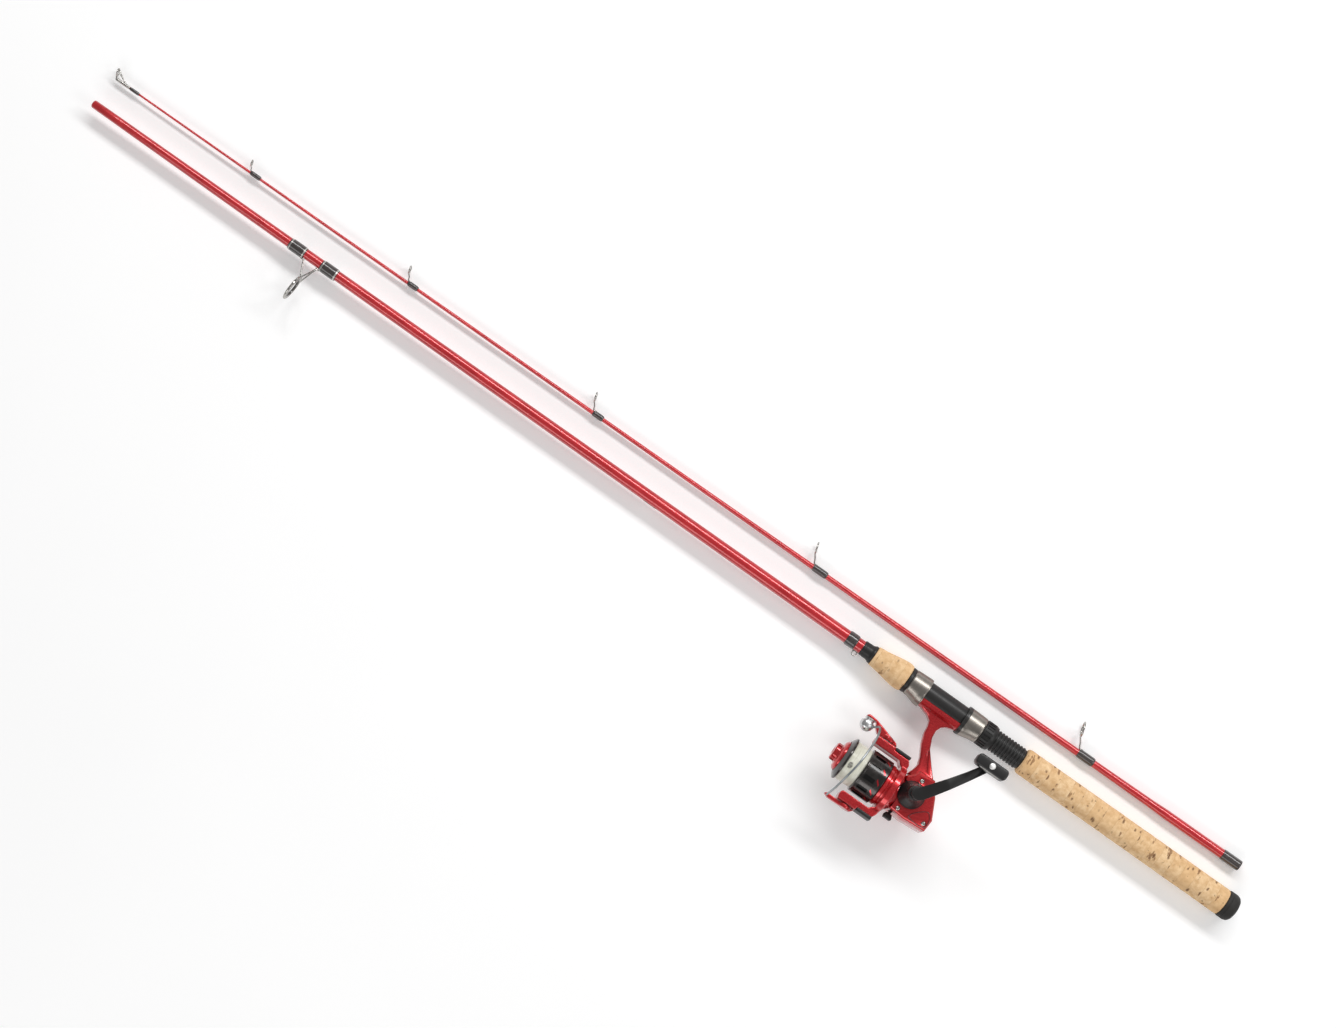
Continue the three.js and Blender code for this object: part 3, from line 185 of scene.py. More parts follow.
def rounded(profile, radius=0.4, steps=3):
    """The same profile with its corners off the axis rounded."""
    made = [profile[0]]
    for before, corner, after in zip(profile, profile[1:], profile[2:]):
        back, ahead = Vector(before) - Vector(corner), Vector(after) - Vector(corner)
        reach = min(radius, back.length * 0.45, ahead.length * 0.45)
        start = Vector(corner) + back.normalized() * reach
        end = Vector(corner) + ahead.normalized() * reach
        for i in range(steps + 1):
            t = i / steps
            made.append(tuple(start * (1 - t) ** 2 + Vector(corner) * 2 * t * (1 - t) + end * t * t))
    return made + [profile[-1]]


# %% Round wire
def curve_points(points, count):
    """A smooth line through the points, in mm, as count points."""
    spans = len(points) - 1
    made = []
    for i in range(count + 1):
        place = i / count * spans
        k = min(int(place), spans - 1)
        t = place - k
        p1, p2 = Vector(points[k]), Vector(points[k + 1])
        p0 = Vector(points[k - 1]) if k > 0 else p1 * 2 - p2
        p3 = Vector(points[k + 2]) if k + 2 <= spans else p2 * 2 - p1
        made.append(
            0.5 * (p1 * 2 + (p2 - p0) * t + (p0 * 2 - p1 * 5 + p2 * 4 - p3) * t * t
                   + (p1 * 3 - p0 - p2 * 3 + p3) * t ** 3)
        )
    return made


def wire(name, points, radius, count=12, sides=12, end_radius=None, flat=1.0):
    """A round bar along the points, in mm. It may taper, and flat squeezes its section."""
    line = curve_points(points, count)
    bpy.ops.object.select_all(action="DESELECT")
    bpy.ops.curve.primitive_bezier_curve_add(radius=MM)
    guide = bpy.context.object
    guide.name = name
    guide.data.splines.clear()
    spline = guide.data.splines.new("POLY")
    spline.points.add(len(line) - 1)
    last = radius if end_radius is None else end_radius
    for i, (point, place) in enumerate(zip(spline.points, line)):
        point.co = (*(place * MM), 1)
        point.radius = 1 + (last / radius - 1) * i / count
    guide.location = (0, 0, 0)
    guide.data.dimensions = "3D"
    guide.data.bevel_depth = radius * MM
    guide.data.bevel_resolution = (sides - 4) // 2
    guide.data.use_fill_caps = True
    pick(guide)
    bpy.ops.object.convert(target="MESH")
    piece = bpy.context.object
    tidy_mesh(piece)
    if flat != 1.0:
        middle = sum((p for p in line), Vector()) / len(line) * MM
        edit(piece)
        bpy.ops.transform.resize(value=(1, 1, flat), center_override=middle)
        leave()
    return piece


def ring(name, centre, radius, thickness, lean=0.0, sides=40):
    """A ring of round wire across the x axis, leaning towards +x. radius is its outside."""
    bpy.ops.object.select_all(action="DESELECT")
    bpy.ops.mesh.primitive_torus_add(
        major_radius=(radius - thickness) * MM, minor_radius=thickness * MM,
        major_segments=sides, minor_segments=14,
        location=Vector(centre) * MM, rotation=(0, math.pi / 2, 0),
    )
    piece = bpy.context.object
    piece.name = name
    bpy.ops.object.transform_apply(location=True, rotation=True, scale=True)
    turn = Matrix.Rotation(-lean, 4, "Z")
    middle = Matrix.Translation(Vector(centre) * MM)
    piece.matrix_world = middle @ turn @ middle.inverted()
    bpy.ops.object.transform_apply(location=True, rotation=True, scale=True)
    return piece


# %% Cast pieces from the frame's solids
def cast(name, node, bevel=0.35, segments=2, angle=28):
    source = frame["nodes"][node]
    piece = source.copy()
    piece.data = source.data.copy()
    piece.parent = None
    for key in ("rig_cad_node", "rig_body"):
        del piece[key]
    piece.name = name
    bpy.context.scene.collection.objects.link(piece)
    piece.data.materials.clear()
    edit(piece)
    bpy.ops.mesh.remove_doubles(threshold=3e-6)
    bpy.ops.mesh.dissolve_limited(angle_limit=math.radians(1.5))
    leave()
    if bevel:
        modify(piece, "BEVEL", width=bevel * MM, segments=segments, limit_method="ANGLE",
               angle_limit=math.radians(angle), harden_normals=False)
    smooth(piece, 34)
    return piece


# %% Handing a finished piece to the frame
made = []


def hand_over(piece, body, material, replaces=(), place=None, angle=32):
    if place is not None:
        settle(piece, place)
    smooth(piece, angle)
    piece.data.materials.clear()
    piece.data.materials.append(material)
    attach(piece, body)
    if replaces:
        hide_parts(*replaces)
    made.append(piece)
    print(f"{piece.name}: {len(piece.data.polygons)} faces on {body}")
    return piece

# %% [markdown]
# ## Writing materials as expressions
# A material here is a small sum of patterns. The class below wraps one socket, so that plain
# arithmetic on two patterns adds the Math nodes for it. Colours are mixed with Mix nodes,
# because a Math node would turn them grey. Every other node comes from one method.

# %% Shader maths
class Pattern:
    def __init__(self, finish, socket):
        self.finish, self.socket = finish, socket

    def sum(self, operation, *others, flip=False):
        inputs = [self, *others]
        if flip:
            inputs.reverse()
        return self.finish.node("ShaderNodeMath", {"operation": operation}, dict(enumerate(inputs)))

    def __add__(self, other): return self.sum("ADD", other)
    def __radd__(self, other): return self.sum("ADD", other)
    def __sub__(self, other): return self.sum("SUBTRACT", other)
    def __rsub__(self, other): return self.sum("SUBTRACT", other, flip=True)
    def __mul__(self, other): return self.sum("MULTIPLY", other)
    def __rmul__(self, other): return self.sum("MULTIPLY", other)
    def __truediv__(self, other): return self.sum("DIVIDE", other)
    def __gt__(self, other): return self.sum("GREATER_THAN", other)
    def __lt__(self, other): return self.sum("LESS_THAN", other)
    def fraction(self): return self.sum("FRACT")
    def size(self): return self.sum("ABSOLUTE")
    def sine(self): return self.sum("SINE")
    def root(self): return self.sum("SQRT")

    def band(self, low, high):
        """1 between two values, 0 outside."""
        return (self > low) * (self < high)

    def spread(self, low, high, to_low=0.0, to_high=1.0):
        """The value taken from one range to another, and held inside it."""
        return self.finish.node(
            "ShaderNodeMapRange", {"clamp": True}, {0: self, 1: low, 2: high, 3: to_low, 4: to_high}
        )


class Finish:
    """A material with one Principled shader. What varies is linked; what doesn't is set."""

    def __init__(self, name, **fixed):
        self.material = bpy.data.materials.new(name)
        self.material.use_nodes = True
        self.tree = self.material.node_tree
        self.shader = self.tree.nodes["Principled BSDF"]
        for socket, value in fixed.items():
            self.shader.inputs[socket.replace("_", " ")].default_value = value
        place = self.tree.nodes.new("ShaderNodeTexCoord")
        self.place = Pattern(self, place.outputs["Object"])
        parts = self.tree.nodes.new("ShaderNodeSeparateXYZ")
        self.tree.links.new(parts.inputs[0], self.place.socket)
        self.x, self.y, self.z = (Pattern(self, s) for s in parts.outputs)

    def node(self, kind, settings=None, inputs=None, output=0):
        made_node = self.tree.nodes.new(kind)
        for name, value in (settings or {}).items():
            if name == "stops":
                ramp = made_node.color_ramp.elements
                while len(ramp) < len(value):
                    ramp.new(0.5)
                for stop, (at, color) in zip(ramp, value):
                    stop.position = at
                    stop.color = (*color, 1)
            else:
                setattr(made_node, name, value)
        for name, value in (inputs or {}).items():
            if isinstance(value, Pattern):
                self.tree.links.new(made_node.inputs[name], value.socket)
            else:
                made_node.inputs[name].default_value = value
        return Pattern(self, made_node.outputs[output])

    def stretched(self, scale, place=(0, 0, 0)):
        return self.node("ShaderNodeMapping", None,
                         {"Vector": self.place, "Scale": scale, "Location": place})

    def noise(self, scale, detail=3.0, roughness=0.5, at=None):
        return self.node("ShaderNodeTexNoise", None,
                         {"Vector": at or self.place, "Scale": scale, "Detail": detail,
                          "Roughness": roughness})

    def cells(self, scale, at=None, feature="F1", output=0, randomness=1.0):
        return self.node("ShaderNodeTexVoronoi", {"feature": feature},
                         {"Vector": at or self.place, "Scale": scale, "Randomness": randomness},
                         output)

    def blend(self, share, first, second, how="MIX"):
        """Two colours mixed by a share; each may be a colour or a pattern."""
        share_value = share
        values = {0: share_value}
        for socket, color in ((6, first), (7, second)):
            values[socket] = color if isinstance(color, Pattern) else (*color, 1)
        return self.node("ShaderNodeMix", {"data_type": "RGBA", "blend_type": how}, values, 2)

    def radius(self, place, axis="x"):
        """Distance in metres from an axis through a point of the frame."""
        a, b = {"x": (self.y, self.z), "y": (self.x, self.z), "z": (self.x, self.y)}[axis]
        da, db = a - place[0], b - place[1]
        return (da * da + db * db).root()

    def show(self, **links):
        for socket, value in links.items():
            target = self.shader.inputs[socket.replace("_", " ")]
            if isinstance(value, Pattern):
                self.tree.links.new(target, value.socket)
            else:
                target.default_value = value
        return self

    def bump(self, height, distance, strength=1.0):
        bent = self.node("ShaderNodeBump", None,
                         {"Height": height, "Distance": distance, "Strength": strength})
        self.tree.links.new(self.shader.inputs["Normal"], bent.socket)
        return self


# %% [markdown]
# ## Red lacquer
# The blank is fibre under a candy coat: a clear red over a bright base, with fine rings left
# by the tape that held the fibre while it baked. The reel's castings have a heavier metallic
# red, with fine flakes. Both have a hard clear coat on top, which gives the long highlight.

# %% Lacquered blank and painted castings
def blank_red():
    finish = Finish("red_blank", Metallic=0.25, Coat_Weight=0.9, Coat_Roughness=0.06,
                    Specular_IOR_Level=0.5)
    cloud = finish.noise(60, 4)
    tape = (finish.x * (2 * math.pi / 0.0021)).sine()
    streak = finish.noise(9, 3, at=finish.stretched((6, 90, 90)))
    deep = finish.blend(cloud.spread(0.35, 0.7), (0.46, 0.010, 0.016), (0.58, 0.018, 0.024))
    color = finish.blend(streak.spread(0.45, 0.75, 0, 0.5), deep, (0.70, 0.035, 0.04))
    finish.show(Base_Color=color, Roughness=cloud.spread(0.3, 0.7, 0.24, 0.36))
    return finish.bump(tape * 0.5 + cloud * 0.3, 0.00002, 0.5).material


def casting_red():
    finish = Finish("red_paint", Metallic=0.55, Coat_Weight=0.9, Coat_Roughness=0.05)
    flake = finish.cells(2600, output=1)
    bright = finish.node("ShaderNodeSeparateColor", None, {0: flake})
    cloud = finish.noise(45, 3)
    base = finish.blend(cloud.spread(0.35, 0.7), (0.44, 0.006, 0.011), (0.56, 0.011, 0.016))
    color = finish.blend(bright.spread(0.55, 1.0, 0, 0.25), base, (0.80, 0.06, 0.055))
    peel = finish.noise(420, 2)
    finish.show(Base_Color=color, Roughness=bright.spread(0, 1, 0.24, 0.32))
    return finish.bump(peel, 0.000012, 0.3).material


def painted_shade_red():
    """Dark red for the narrow step round the cover's raised outline: painted shade."""
    finish = Finish("red_painted_shade", Coat_Weight=0.5, Coat_Roughness=0.1)
    cloud = finish.noise(200, 3)
    finish.show(Base_Color=finish.blend(cloud, (0.10, 0.002, 0.003), (0.17, 0.004, 0.006)),
                Roughness=cloud.spread(0.3, 0.7, 0.35, 0.5))
    return finish.bump(cloud, 0.00002, 0.3).material


RED_BLANK = blank_red()
PAINTED_SHADE_RED = painted_shade_red()
RED_PAINT = casting_red()
print("red finishes ready")

# %% [markdown]
# ## Cork
# A cork grip is a stack of rings glued on the blank and turned down. Each ring is cut from
# another piece of bark, so its tone differs a little and a fine joint shows. The bark has
# dark pits and short streaks, and the larger pits are real hollows in the surface.

# %% Cork
CORK_RING = 12.2 * MM


def cork():
    finish = Finish("cork", Specular_IOR_Level=0.25)
    index = finish.x / CORK_RING
    number = index.sum("FLOOR")
    tone = finish.node("ShaderNodeTexWhiteNoise", {"noise_dimensions": "1D"}, {"W": number})
    joint = (index.fraction() - 0.5).size().spread(0.482, 0.5)
    apart = finish.node("ShaderNodeCombineXYZ", None, {0: number * 0.37, 1: number * 0.11, 2: 0.0})
    moved = finish.node("ShaderNodeVectorMath", {"operation": "ADD"}, {0: finish.place, 1: apart})
    grain = finish.noise(170, 6, 0.65, at=moved)
    fine = finish.noise(900, 3, 0.6, at=moved)
    long_place = finish.node("ShaderNodeMapping", None, {"Vector": moved, "Scale": (1.0, 0.42, 0.42)})
    streak_place = finish.node("ShaderNodeMapping", None, {"Vector": moved, "Scale": (1.0, 0.3, 0.3)})
    pits = finish.cells(240, at=long_place)
    some = finish.noise(130, 2, at=moved)
    pit = pits.spread(0.20, 0.36, 1, 0) * some.spread(0.52, 0.58)
    streaks = finish.noise(150, 4, 0.6, at=streak_place).spread(0.615, 0.65)
    light = finish.blend(tone, (0.80, 0.53, 0.28), (0.90, 0.66, 0.40))
    speckled = finish.blend(grain.spread(0.35, 0.68), (0.66, 0.41, 0.20), light)
    streaked = finish.blend(streaks * 0.8, speckled, (0.24, 0.115, 0.05))
    pitted = finish.blend(pit * 0.85, streaked, (0.16, 0.075, 0.035))
    color = finish.blend(joint * 0.35, pitted, (0.35, 0.2, 0.1))
    finish.show(Base_Color=color, Roughness=fine.spread(0.3, 0.7, 0.72, 0.92))
    depth = fine * 0.25 + grain * 0.25 - pit * 1.0 - joint * 0.4 - streaks * 0.3
    return finish.bump(depth, 0.0004, 0.7).material


CORK = cork()

# %% [markdown]
# ## Black parts
# Three blacks differ only in surface: the rubber cap is dull with a fine grain, the moulded
# seat and the winding check are satin, and the reel's black parts are a little glossier. Handling
# rubs them to a slightly brighter, smoother patch here and there.

# %% Rubber and moulded plastic
def black(name, grain, rough, tone, coat=0.0, depth=0.00003):
    finish = Finish(name, Coat_Weight=coat, Coat_Roughness=0.12, Specular_IOR_Level=0.38)
    texture = finish.noise(grain, 3, 0.6)
    rubbed = finish.noise(38, 3, 0.55).spread(0.4, 0.72)
    darker = tuple(v * 0.72 for v in tone)
    finish.show(Base_Color=finish.blend(rubbed, darker, tone),
                Roughness=rubbed.spread(0, 1, rough + 0.07, rough - 0.07))
    return finish.bump(texture, depth, 0.6).material


RUBBER = black("cap_rubber", 1500, 0.66, (0.026, 0.024, 0.022), depth=0.00007)
SEAT_BLACK = black("black_plastic", 1900, 0.42, (0.018, 0.017, 0.0165), coat=0.04)
REEL_BLACK = black("reel_black", 2100, 0.36, (0.017, 0.016, 0.016), coat=0.1)
print("cork and blacks ready")

# %% [markdown]
# ## Thread wraps
# A guide is tied on with fine thread and sealed with varnish. Turns of thread a fifth of a
# millimetre apart show as rings under the gloss. The two large wraps of the lower guide are
# edged with a few turns of silver thread.

# %% Thread under varnish
THREAD_PITCH = 0.24 * MM


def thread(name, bands=()):
    finish = Finish(name, Coat_Weight=1.0, Coat_Roughness=0.04)
    turns = (finish.x * (2 * math.pi / THREAD_PITCH)).sine() * 0.5 + 0.5
    uneven = finish.noise(300, 2)
    dark = finish.blend(turns, (0.012, 0.009, 0.009), (0.055, 0.040, 0.036))
    color, metal = dark, None
    for low, high in bands:
        inside = finish.x.band(low * MM, high * MM)
        metal = inside if metal is None else metal + inside
    if metal is not None:
        silver = finish.blend(turns, (0.28, 0.27, 0.25), (0.72, 0.70, 0.66))
        color = finish.blend(metal, dark, silver)
        finish.show(Metallic=metal * 0.85)
    finish.show(Base_Color=color, Roughness=uneven.spread(0.3, 0.7, 0.3, 0.46))
    return finish.bump(turns + uneven * 0.3, 0.00004, 0.6).material


THREAD = thread("thread")
STRIPPER_THREAD = thread("stripper_thread", [
    (979.2, 980.6), (993.6, 994.8), (1013.6, 1014.9), (1027.6, 1028.9),
])

# %% [markdown]
# ## Bare metal
# The hoods are anodised gunmetal, turned on a lathe, so their fine lines run round the rod.
# The guides are polished steel, and the bail and its roller are chromed. Real polish is never
# even: soft cloudy patches of roughness keep the reflections from looking computed.

# %% Metals
def turned_metal(name, tone, line_pitch, rough, black_bands=()):
    finish = Finish(name, Metallic=1.0)
    lines = finish.noise(1.0, 2, 0.7, at=finish.stretched((1 / line_pitch, 30, 30)))
    cloud = finish.noise(70, 3)
    bright = tuple(min(1, v * 1.35) for v in tone)
    color = finish.blend(lines.spread(0.35, 0.65), tone, bright)
    roughness = lines.spread(0.3, 0.7, rough - 0.06, rough + 0.08) + cloud * 0.06
    if black_bands:
        mask = finish.x.band(*(v * MM for v in black_bands))
        color = finish.blend(mask, color, (0.02, 0.019, 0.018))
        finish.show(Metallic=1 - mask)
    finish.show(Base_Color=color, Roughness=roughness)
    return finish.bump(lines, 0.00001, 0.5).material


def polished(name, tone, rough, mottle=120):
    finish = Finish(name, Metallic=1.0)
    cloud = finish.noise(mottle, 4, 0.6)
    scratch = finish.noise(700, 2, at=finish.stretched((1, 6, 6)))
    dull = tuple(v * 0.8 for v in tone)
    finish.show(Base_Color=finish.blend(cloud.spread(0.4, 0.65), dull, tone),
                Roughness=cloud.spread(0.35, 0.7, rough, rough * 2.2) + scratch.spread(0.6, 0.8, 0, 0.05))
    return finish.bump(scratch, 0.000008, 0.4).material


HOOD = turned_metal("hood_metal", (0.27, 0.247, 0.222), 0.00012, 0.31)
SLIDING_HOOD = turned_metal("hood_metal_edged", (0.27, 0.247, 0.222), 0.00012, 0.31,
                            black_bands=(293.4, 297.6))
STEEL = polished("bright_steel", (0.62, 0.60, 0.57), 0.16)
GUIDE_STEEL = polished("guide_steel", (0.50, 0.485, 0.46), 0.14)
CHROME = polished("chrome", (0.72, 0.72, 0.72), 0.2)
BAIL_STEEL = polished("bail_chrome", (0.33, 0.355, 0.365), 0.24)
RIVET_STEEL = polished("rivet_steel", (0.90, 0.89, 0.87), 0.34)
BRASS = polished("gear_brass", (0.68, 0.47, 0.20), 0.2)
print("metals ready")

# %% [markdown]
# ## Small finishes
# The guide's lining is dark ceramic, the drag washer is woven fibre, and the line is clear
# nylon. Wound nylon looks pale and slightly green, and each turn catches a thread of light.

# %% Ceramic, fibre and line
def ceramic():
    finish = Finish("ceramic", Coat_Weight=0.6, Coat_Roughness=0.03)
    cloud = finish.noise(500, 3)
    finish.show(Base_Color=finish.blend(cloud, (0.05, 0.047, 0.045), (0.12, 0.112, 0.105)),
                Roughness=cloud.spread(0.3, 0.7, 0.12, 0.22))
    return finish.bump(cloud, 0.000006, 0.4).material


def fibre():
    finish = Finish("fibre")
    weave = (finish.y * 5200).sine() * (finish.z * 5200).sine()
    finish.show(Base_Color=finish.blend(weave.spread(-1, 1), (0.2, 0.14, 0.09), (0.36, 0.27, 0.18)),
                Roughness=weave.spread(-1, 1, 0.9, 0.7))
    return finish.bump(weave, 0.0001, 0.6).material


def nylon():
    finish = Finish("fishing_line", Coat_Weight=0.5, Coat_Roughness=0.16, Specular_IOR_Level=0.6)
    layers = finish.noise(1.0, 3, 0.6, at=finish.stretched((1500, 55, 55)))
    cloud = finish.noise(120, 3)
    pale = finish.blend(cloud.spread(0.35, 0.7), (0.78, 0.77, 0.66), (0.90, 0.89, 0.80))
    shaded = finish.blend(layers.spread(0.42, 0.62, 0, 0.5), pale, (0.52, 0.50, 0.38))
    # the dark oval of the clip that holds the line's end, seen through the last turns
    along = (finish.x - 0.3585) / 0.0022
    across = (finish.y * 0.97815 + finish.z * 0.20791 - 0.0963) / 0.0032
    oval = along * along + across * across
    top = finish.z * 0.97815 - finish.y * 0.20791 > 0.012
    clip = oval.spread(0.75, 1.1, 1, 0) * top * finish.noise(900, 2).spread(0.35, 0.6, 0.35, 0.9)
    finish.show(Base_Color=finish.blend(clip, shaded, (0.035, 0.030, 0.026)),
                Roughness=layers.spread(0.3, 0.7, 0.22, 0.42))
    return finish.bump(layers, 0.00006, 0.7).material


CERAMIC = ceramic()
FIBRE = fibre()
LINE = nylon()

# %% [markdown]
# ## The butt section: cap and cork
# The cap is moulded rubber with rounded edges and a fine groove. Each grip is turned with
# a point every millimetre, then its surface is pushed in where a cloud texture is dark, which
# leaves the shallow hollows that sanded cork has.

# %% Butt cap
cap = turned("rubber_butt_cap", rounded([
    (0, 0), (0, 6.6), (0.3, 7.2), (1.0, 9.8), (3.0, 12.0), (5.8, 12.9), (9.4, 12.9), (9.6, 12.6),
    (10.0, 12.6), (10.2, 12.9), (12.4, 12.9), (13.2, 12.3), (13.2, 6.9), (5.0, 6.9), (5.0, 0),
], 0.5), sides=72)
hand_over(cap, "rod", RUBBER, ["butt_cap"])

# %% Cork grips
def cork_grip(name, outline, bore, node):
    """outline: (place, radius) corners. The grip follows them with a point every millimetre."""
    start, end = outline[0][0], outline[-1][0]
    profile = [(start, bore)]
    count = int(end - start)
    for i in range(count + 1):
        place = start + (end - start) * i / count
        for (x0, r0), (x1, r1) in zip(outline, outline[1:]):
            if x0 <= place <= x1 + 1e-9:
                profile.append((place, r0 + (r1 - r0) * (place - x0) / (x1 - x0)))
                break
    profile += [(end, bore), (start, bore)]
    grip = turned(name, profile, sides=80)
    pits = bpy.data.textures.new(name + "_pits", "VORONOI")
    pits.noise_scale = 0.0042
    pits.noise_intensity = 1.2
    skin = grip.vertex_groups.new(name="skin")
    inner = (bore + 1.5) * MM
    skin.add([v.index for v in grip.data.vertices
              if math.hypot(v.co.y, v.co.z) > inner
              and (start + 1.2) * MM < v.co.x < (end - 1.2) * MM], 1.0, "REPLACE")
    modify(grip, "DISPLACE", texture=pits, strength=0.00022, mid_level=1.0,
           vertex_group="skin", texture_coords="LOCAL")
    return hand_over(grip, "rod", CORK, [node], angle=60)


cork_grip("cork_rear_grip",
          [(13.5, 12.1), (14.6, 12.5), (230.0, 12.5), (231.4, 12.0), (232.5, 11.1)], 7.1, "rear_grip")
cork_grip("cork_fore_grip",
          [(358.1, 12.3), (359.3, 13.0), (361.0, 13.4), (363.0, 13.5), (367.0, 13.25), (373.0, 12.3),
           (379.0, 11.15), (386.0, 10.1), (391.6, 9.6), (393.6, 9.1)], 6.8, "fore_grip")

# %% [markdown]
# ## Reel seat
# The seat is one moulded tube: a rounded thread at the butt end, a smooth barrel, and a
# collar at the front. The thread is drawn as close ridges with rounded crests. The locking
# nut is turned first, and then every other strip of its side faces is pressed in for grip.

# %% Seat and its collar
THREAD_STEP = 3.2
ridges = []
for i in range(10):
    crest = 236.0 + THREAD_STEP * i
    ridges += [(crest - 1.1, 9.5), (crest - 0.7, 10.2), (crest - 0.2, 10.4), (crest + 0.5, 10.4),
               (crest + 1.0, 10.2), (crest + 1.4, 9.5)]
seat = turned("moulded_reel_seat", [
    (232.8, 7.1), (232.8, 9.2), (233.3, 9.5), *ridges, (268.6, 9.5), (269.4, 10.3), (282.6, 10.4),
    (283.8, 10.75), (357.3, 10.75), (357.8, 10.4), (357.8, 6.9), (232.8, 7.1),
], sides=64)
hand_over(seat, "rod", SEAT_BLACK, ["reel_seat"])
collar = turned("seat_front_collar", rounded([
    (354.3, 10.9), (354.3, 12.0), (357.2, 12.3), (357.8, 11.7), (357.8, 10.9), (354.3, 10.9),
], 0.4), sides=64)
hand_over(collar, "rod", SEAT_BLACK, ["seat_collar"])

# %% Ribbed locking nut
NUT_RIBS = 24
nut = turned("ribbed_locking_nut", [
    (264.3, 10.65), (264.3, 11.0), (264.7, 11.35), (267.0, 12.1), (267.9, 12.3), (268.3, 12.3),
    (275.3, 12.3), (275.9, 12.25), (276.7, 11.8), (276.7, 10.65), (264.3, 10.65),
], sides=NUT_RIBS * 4)
edit(nut, "FACE", everything=False)
leave()
for face in nut.data.polygons:
    x, y, z = face.center / MM
    turn = (math.degrees(math.atan2(z, y)) % (360 / NUT_RIBS)) * NUT_RIBS / 360
    face.select = 268.3 < x < 275.3 and math.hypot(y, z) > 12 and turn > 0.5
pick(nut)
bpy.ops.object.mode_set(mode="EDIT")
bpy.ops.mesh.extrude_region_shrink_fatten(
    TRANSFORM_OT_shrink_fatten={"value": -0.7 * MM, "use_even_offset": False})
leave()
hand_over(nut, "nut", SEAT_BLACK, ["locking_nut"], angle=25)

# %% [markdown]
# ## Hoods
# Two metal hoods clamp the ends of the reel's foot to the seat. Each is a collar round the seat
# with a swelling on the reel's side. The collar and the swelling are turned by themselves and
# joined. Then the seat's bore and a pocket for the foot are cut out of them.

# %% Hoods over the reel's foot
FOOT = (288.0, 346.0)


def hood(name, closed, mouth):
    """A turned collar with a lobe over the foot, bored for the barrel and cut for the foot."""
    way = 1 if mouth > closed else -1
    collar = turned(name, rounded([
        (closed, 0), (closed, 11.8), (closed + way * 1.2, 12.4), (mouth - way * 1.2, 12.9),
        (mouth - way * 0.8, 12.6),
        (mouth, 12.8), (mouth, 0),
    ], 0.25), sides=96)
    lobe = turned("lobe", rounded([
        (closed + way * 3, 0), (closed + way * 3, 9.1), (mouth - way * 5, 11.8),
        (mouth - way * 1.2, 12.25),
        (mouth - way * 0.8, 12.0), (mouth, 12.2), (mouth, 0),
    ], 0.25), at=(0, 3.1, 0), sides=96)
    low, high = min(closed, mouth) - 1, max(closed, mouth) + 1
    barrel = turned("barrel", [(low, 0), (low, 10.95), (high, 10.95), (high, 0)], sides=96)
    pocket = turned("pocket", [
        (FOOT[0] - 0.2, 10.4), (FOOT[0] - 0.2, 12.6), (FOOT[0] + 11, 14.3), (FOOT[1] - 11, 14.3),
        (FOOT[1] + 0.2, 12.6), (FOOT[1] + 0.2, 10.4), (FOOT[0] - 0.2, 10.4),
    ], sides=96)
    bpy.ops.mesh.primitive_cube_add(
        size=1, location=Vector((317, 9, 0)) * MM, scale=Vector((80, 14, 17.3)) * MM)
    across = bpy.context.object
    bpy.ops.object.transform_apply(location=True, rotation=True, scale=True)
    modify(pocket, "BOOLEAN", operation="INTERSECT", object=across, solver="EXACT")
    for operation, other in (("UNION", lobe), ("DIFFERENCE", barrel), ("DIFFERENCE", pocket)):
        modify(collar, "BOOLEAN", operation=operation, object=other, solver="EXACT")
    for tool in (lobe, barrel, pocket, across):
        bpy.data.objects.remove(tool)
    settle(collar, REEL)
    return collar


hand_over(hood("front_hood", 354.0, 337.0), "rod", HOOD, ["fixed_hood"], angle=26)
hand_over(hood("rear_hood", 277.0, 297.0), "hood", SLIDING_HOOD, ["sliding_hood"], angle=26)

# %% [markdown]
# ## The lower blank
# The blank is a long thin cone of fibre. It is turned with a ring of points every few
# centimetres so that its taper stays true, and its open end has a rounded edge.

# %% Blank, winding check and keeper
def taper(stations, place):
    for (x0, r0), (x1, r1) in zip(stations, stations[1:]):
        if place <= x1:
            return r0 + (r1 - r0) * (place - x0) / (x1 - x0)
    return stations[-1][1]


BUTT_TAPER = [(0, 6.6), (425, 6.15), (835, 5.25), (1245, 3.8)]
butt_points = [(x, taper(BUTT_TAPER, x)) for x in range(10, 1240, 30)]
blank = turned("lower_blank", [
    (5.3, 0), (5.3, 6.59), *butt_points, (1243.2, 3.8), (1244.2, 3.4), (1244.8, 2.6), (1245, 1.5),
    (1245, 0),
], sides=48)
hand_over(blank, "rod", RED_BLANK, ["butt_blank"])

check = turned("black_winding_check", rounded([
    (393.9, 6.4), (393.9, 8.5), (395.6, 8.6), (396.6, 7.9), (398.0, 7.25), (403.0, 7.1),
    (403.3, 6.95), (403.7, 6.95), (404.0, 7.1), (405.8, 7.0), (406.4, 6.6), (406.4, 6.4), (393.9, 6.4),
], 0.3), sides=56)
hand_over(check, "rod", SEAT_BLACK, ["winding_check"])


def wrap_profile(start, end, radius_at, rise, lip=0.15, bore=0.16):
    """Varnish over thread: it swells from both ends and follows the taper between them."""
    length = end - start
    profile = [(start, radius_at(start) + bore)]
    count = max(8, int(length / 1.2))
    for i in range(count + 1):
        t = i / count
        swell = min(1, t * length / 1.8, (1 - t) * length / 1.8)
        swell = math.sin(swell * math.pi / 2)
        place = start + t * length
        profile.append((place, radius_at(place) + lip + bore + (rise - lip - bore) * swell))
    profile += [(end, radius_at(end) + bore), (start, radius_at(start) + bore)]
    return profile


def butt_radius(place):
    return taper(BUTT_TAPER, place)


keeper_wrap = turned("keeper_thread", wrap_profile(412.6, 422.6, butt_radius, 0.85), sides=56)
hand_over(keeper_wrap, "rod", THREAD, ["keeper_wrap"])

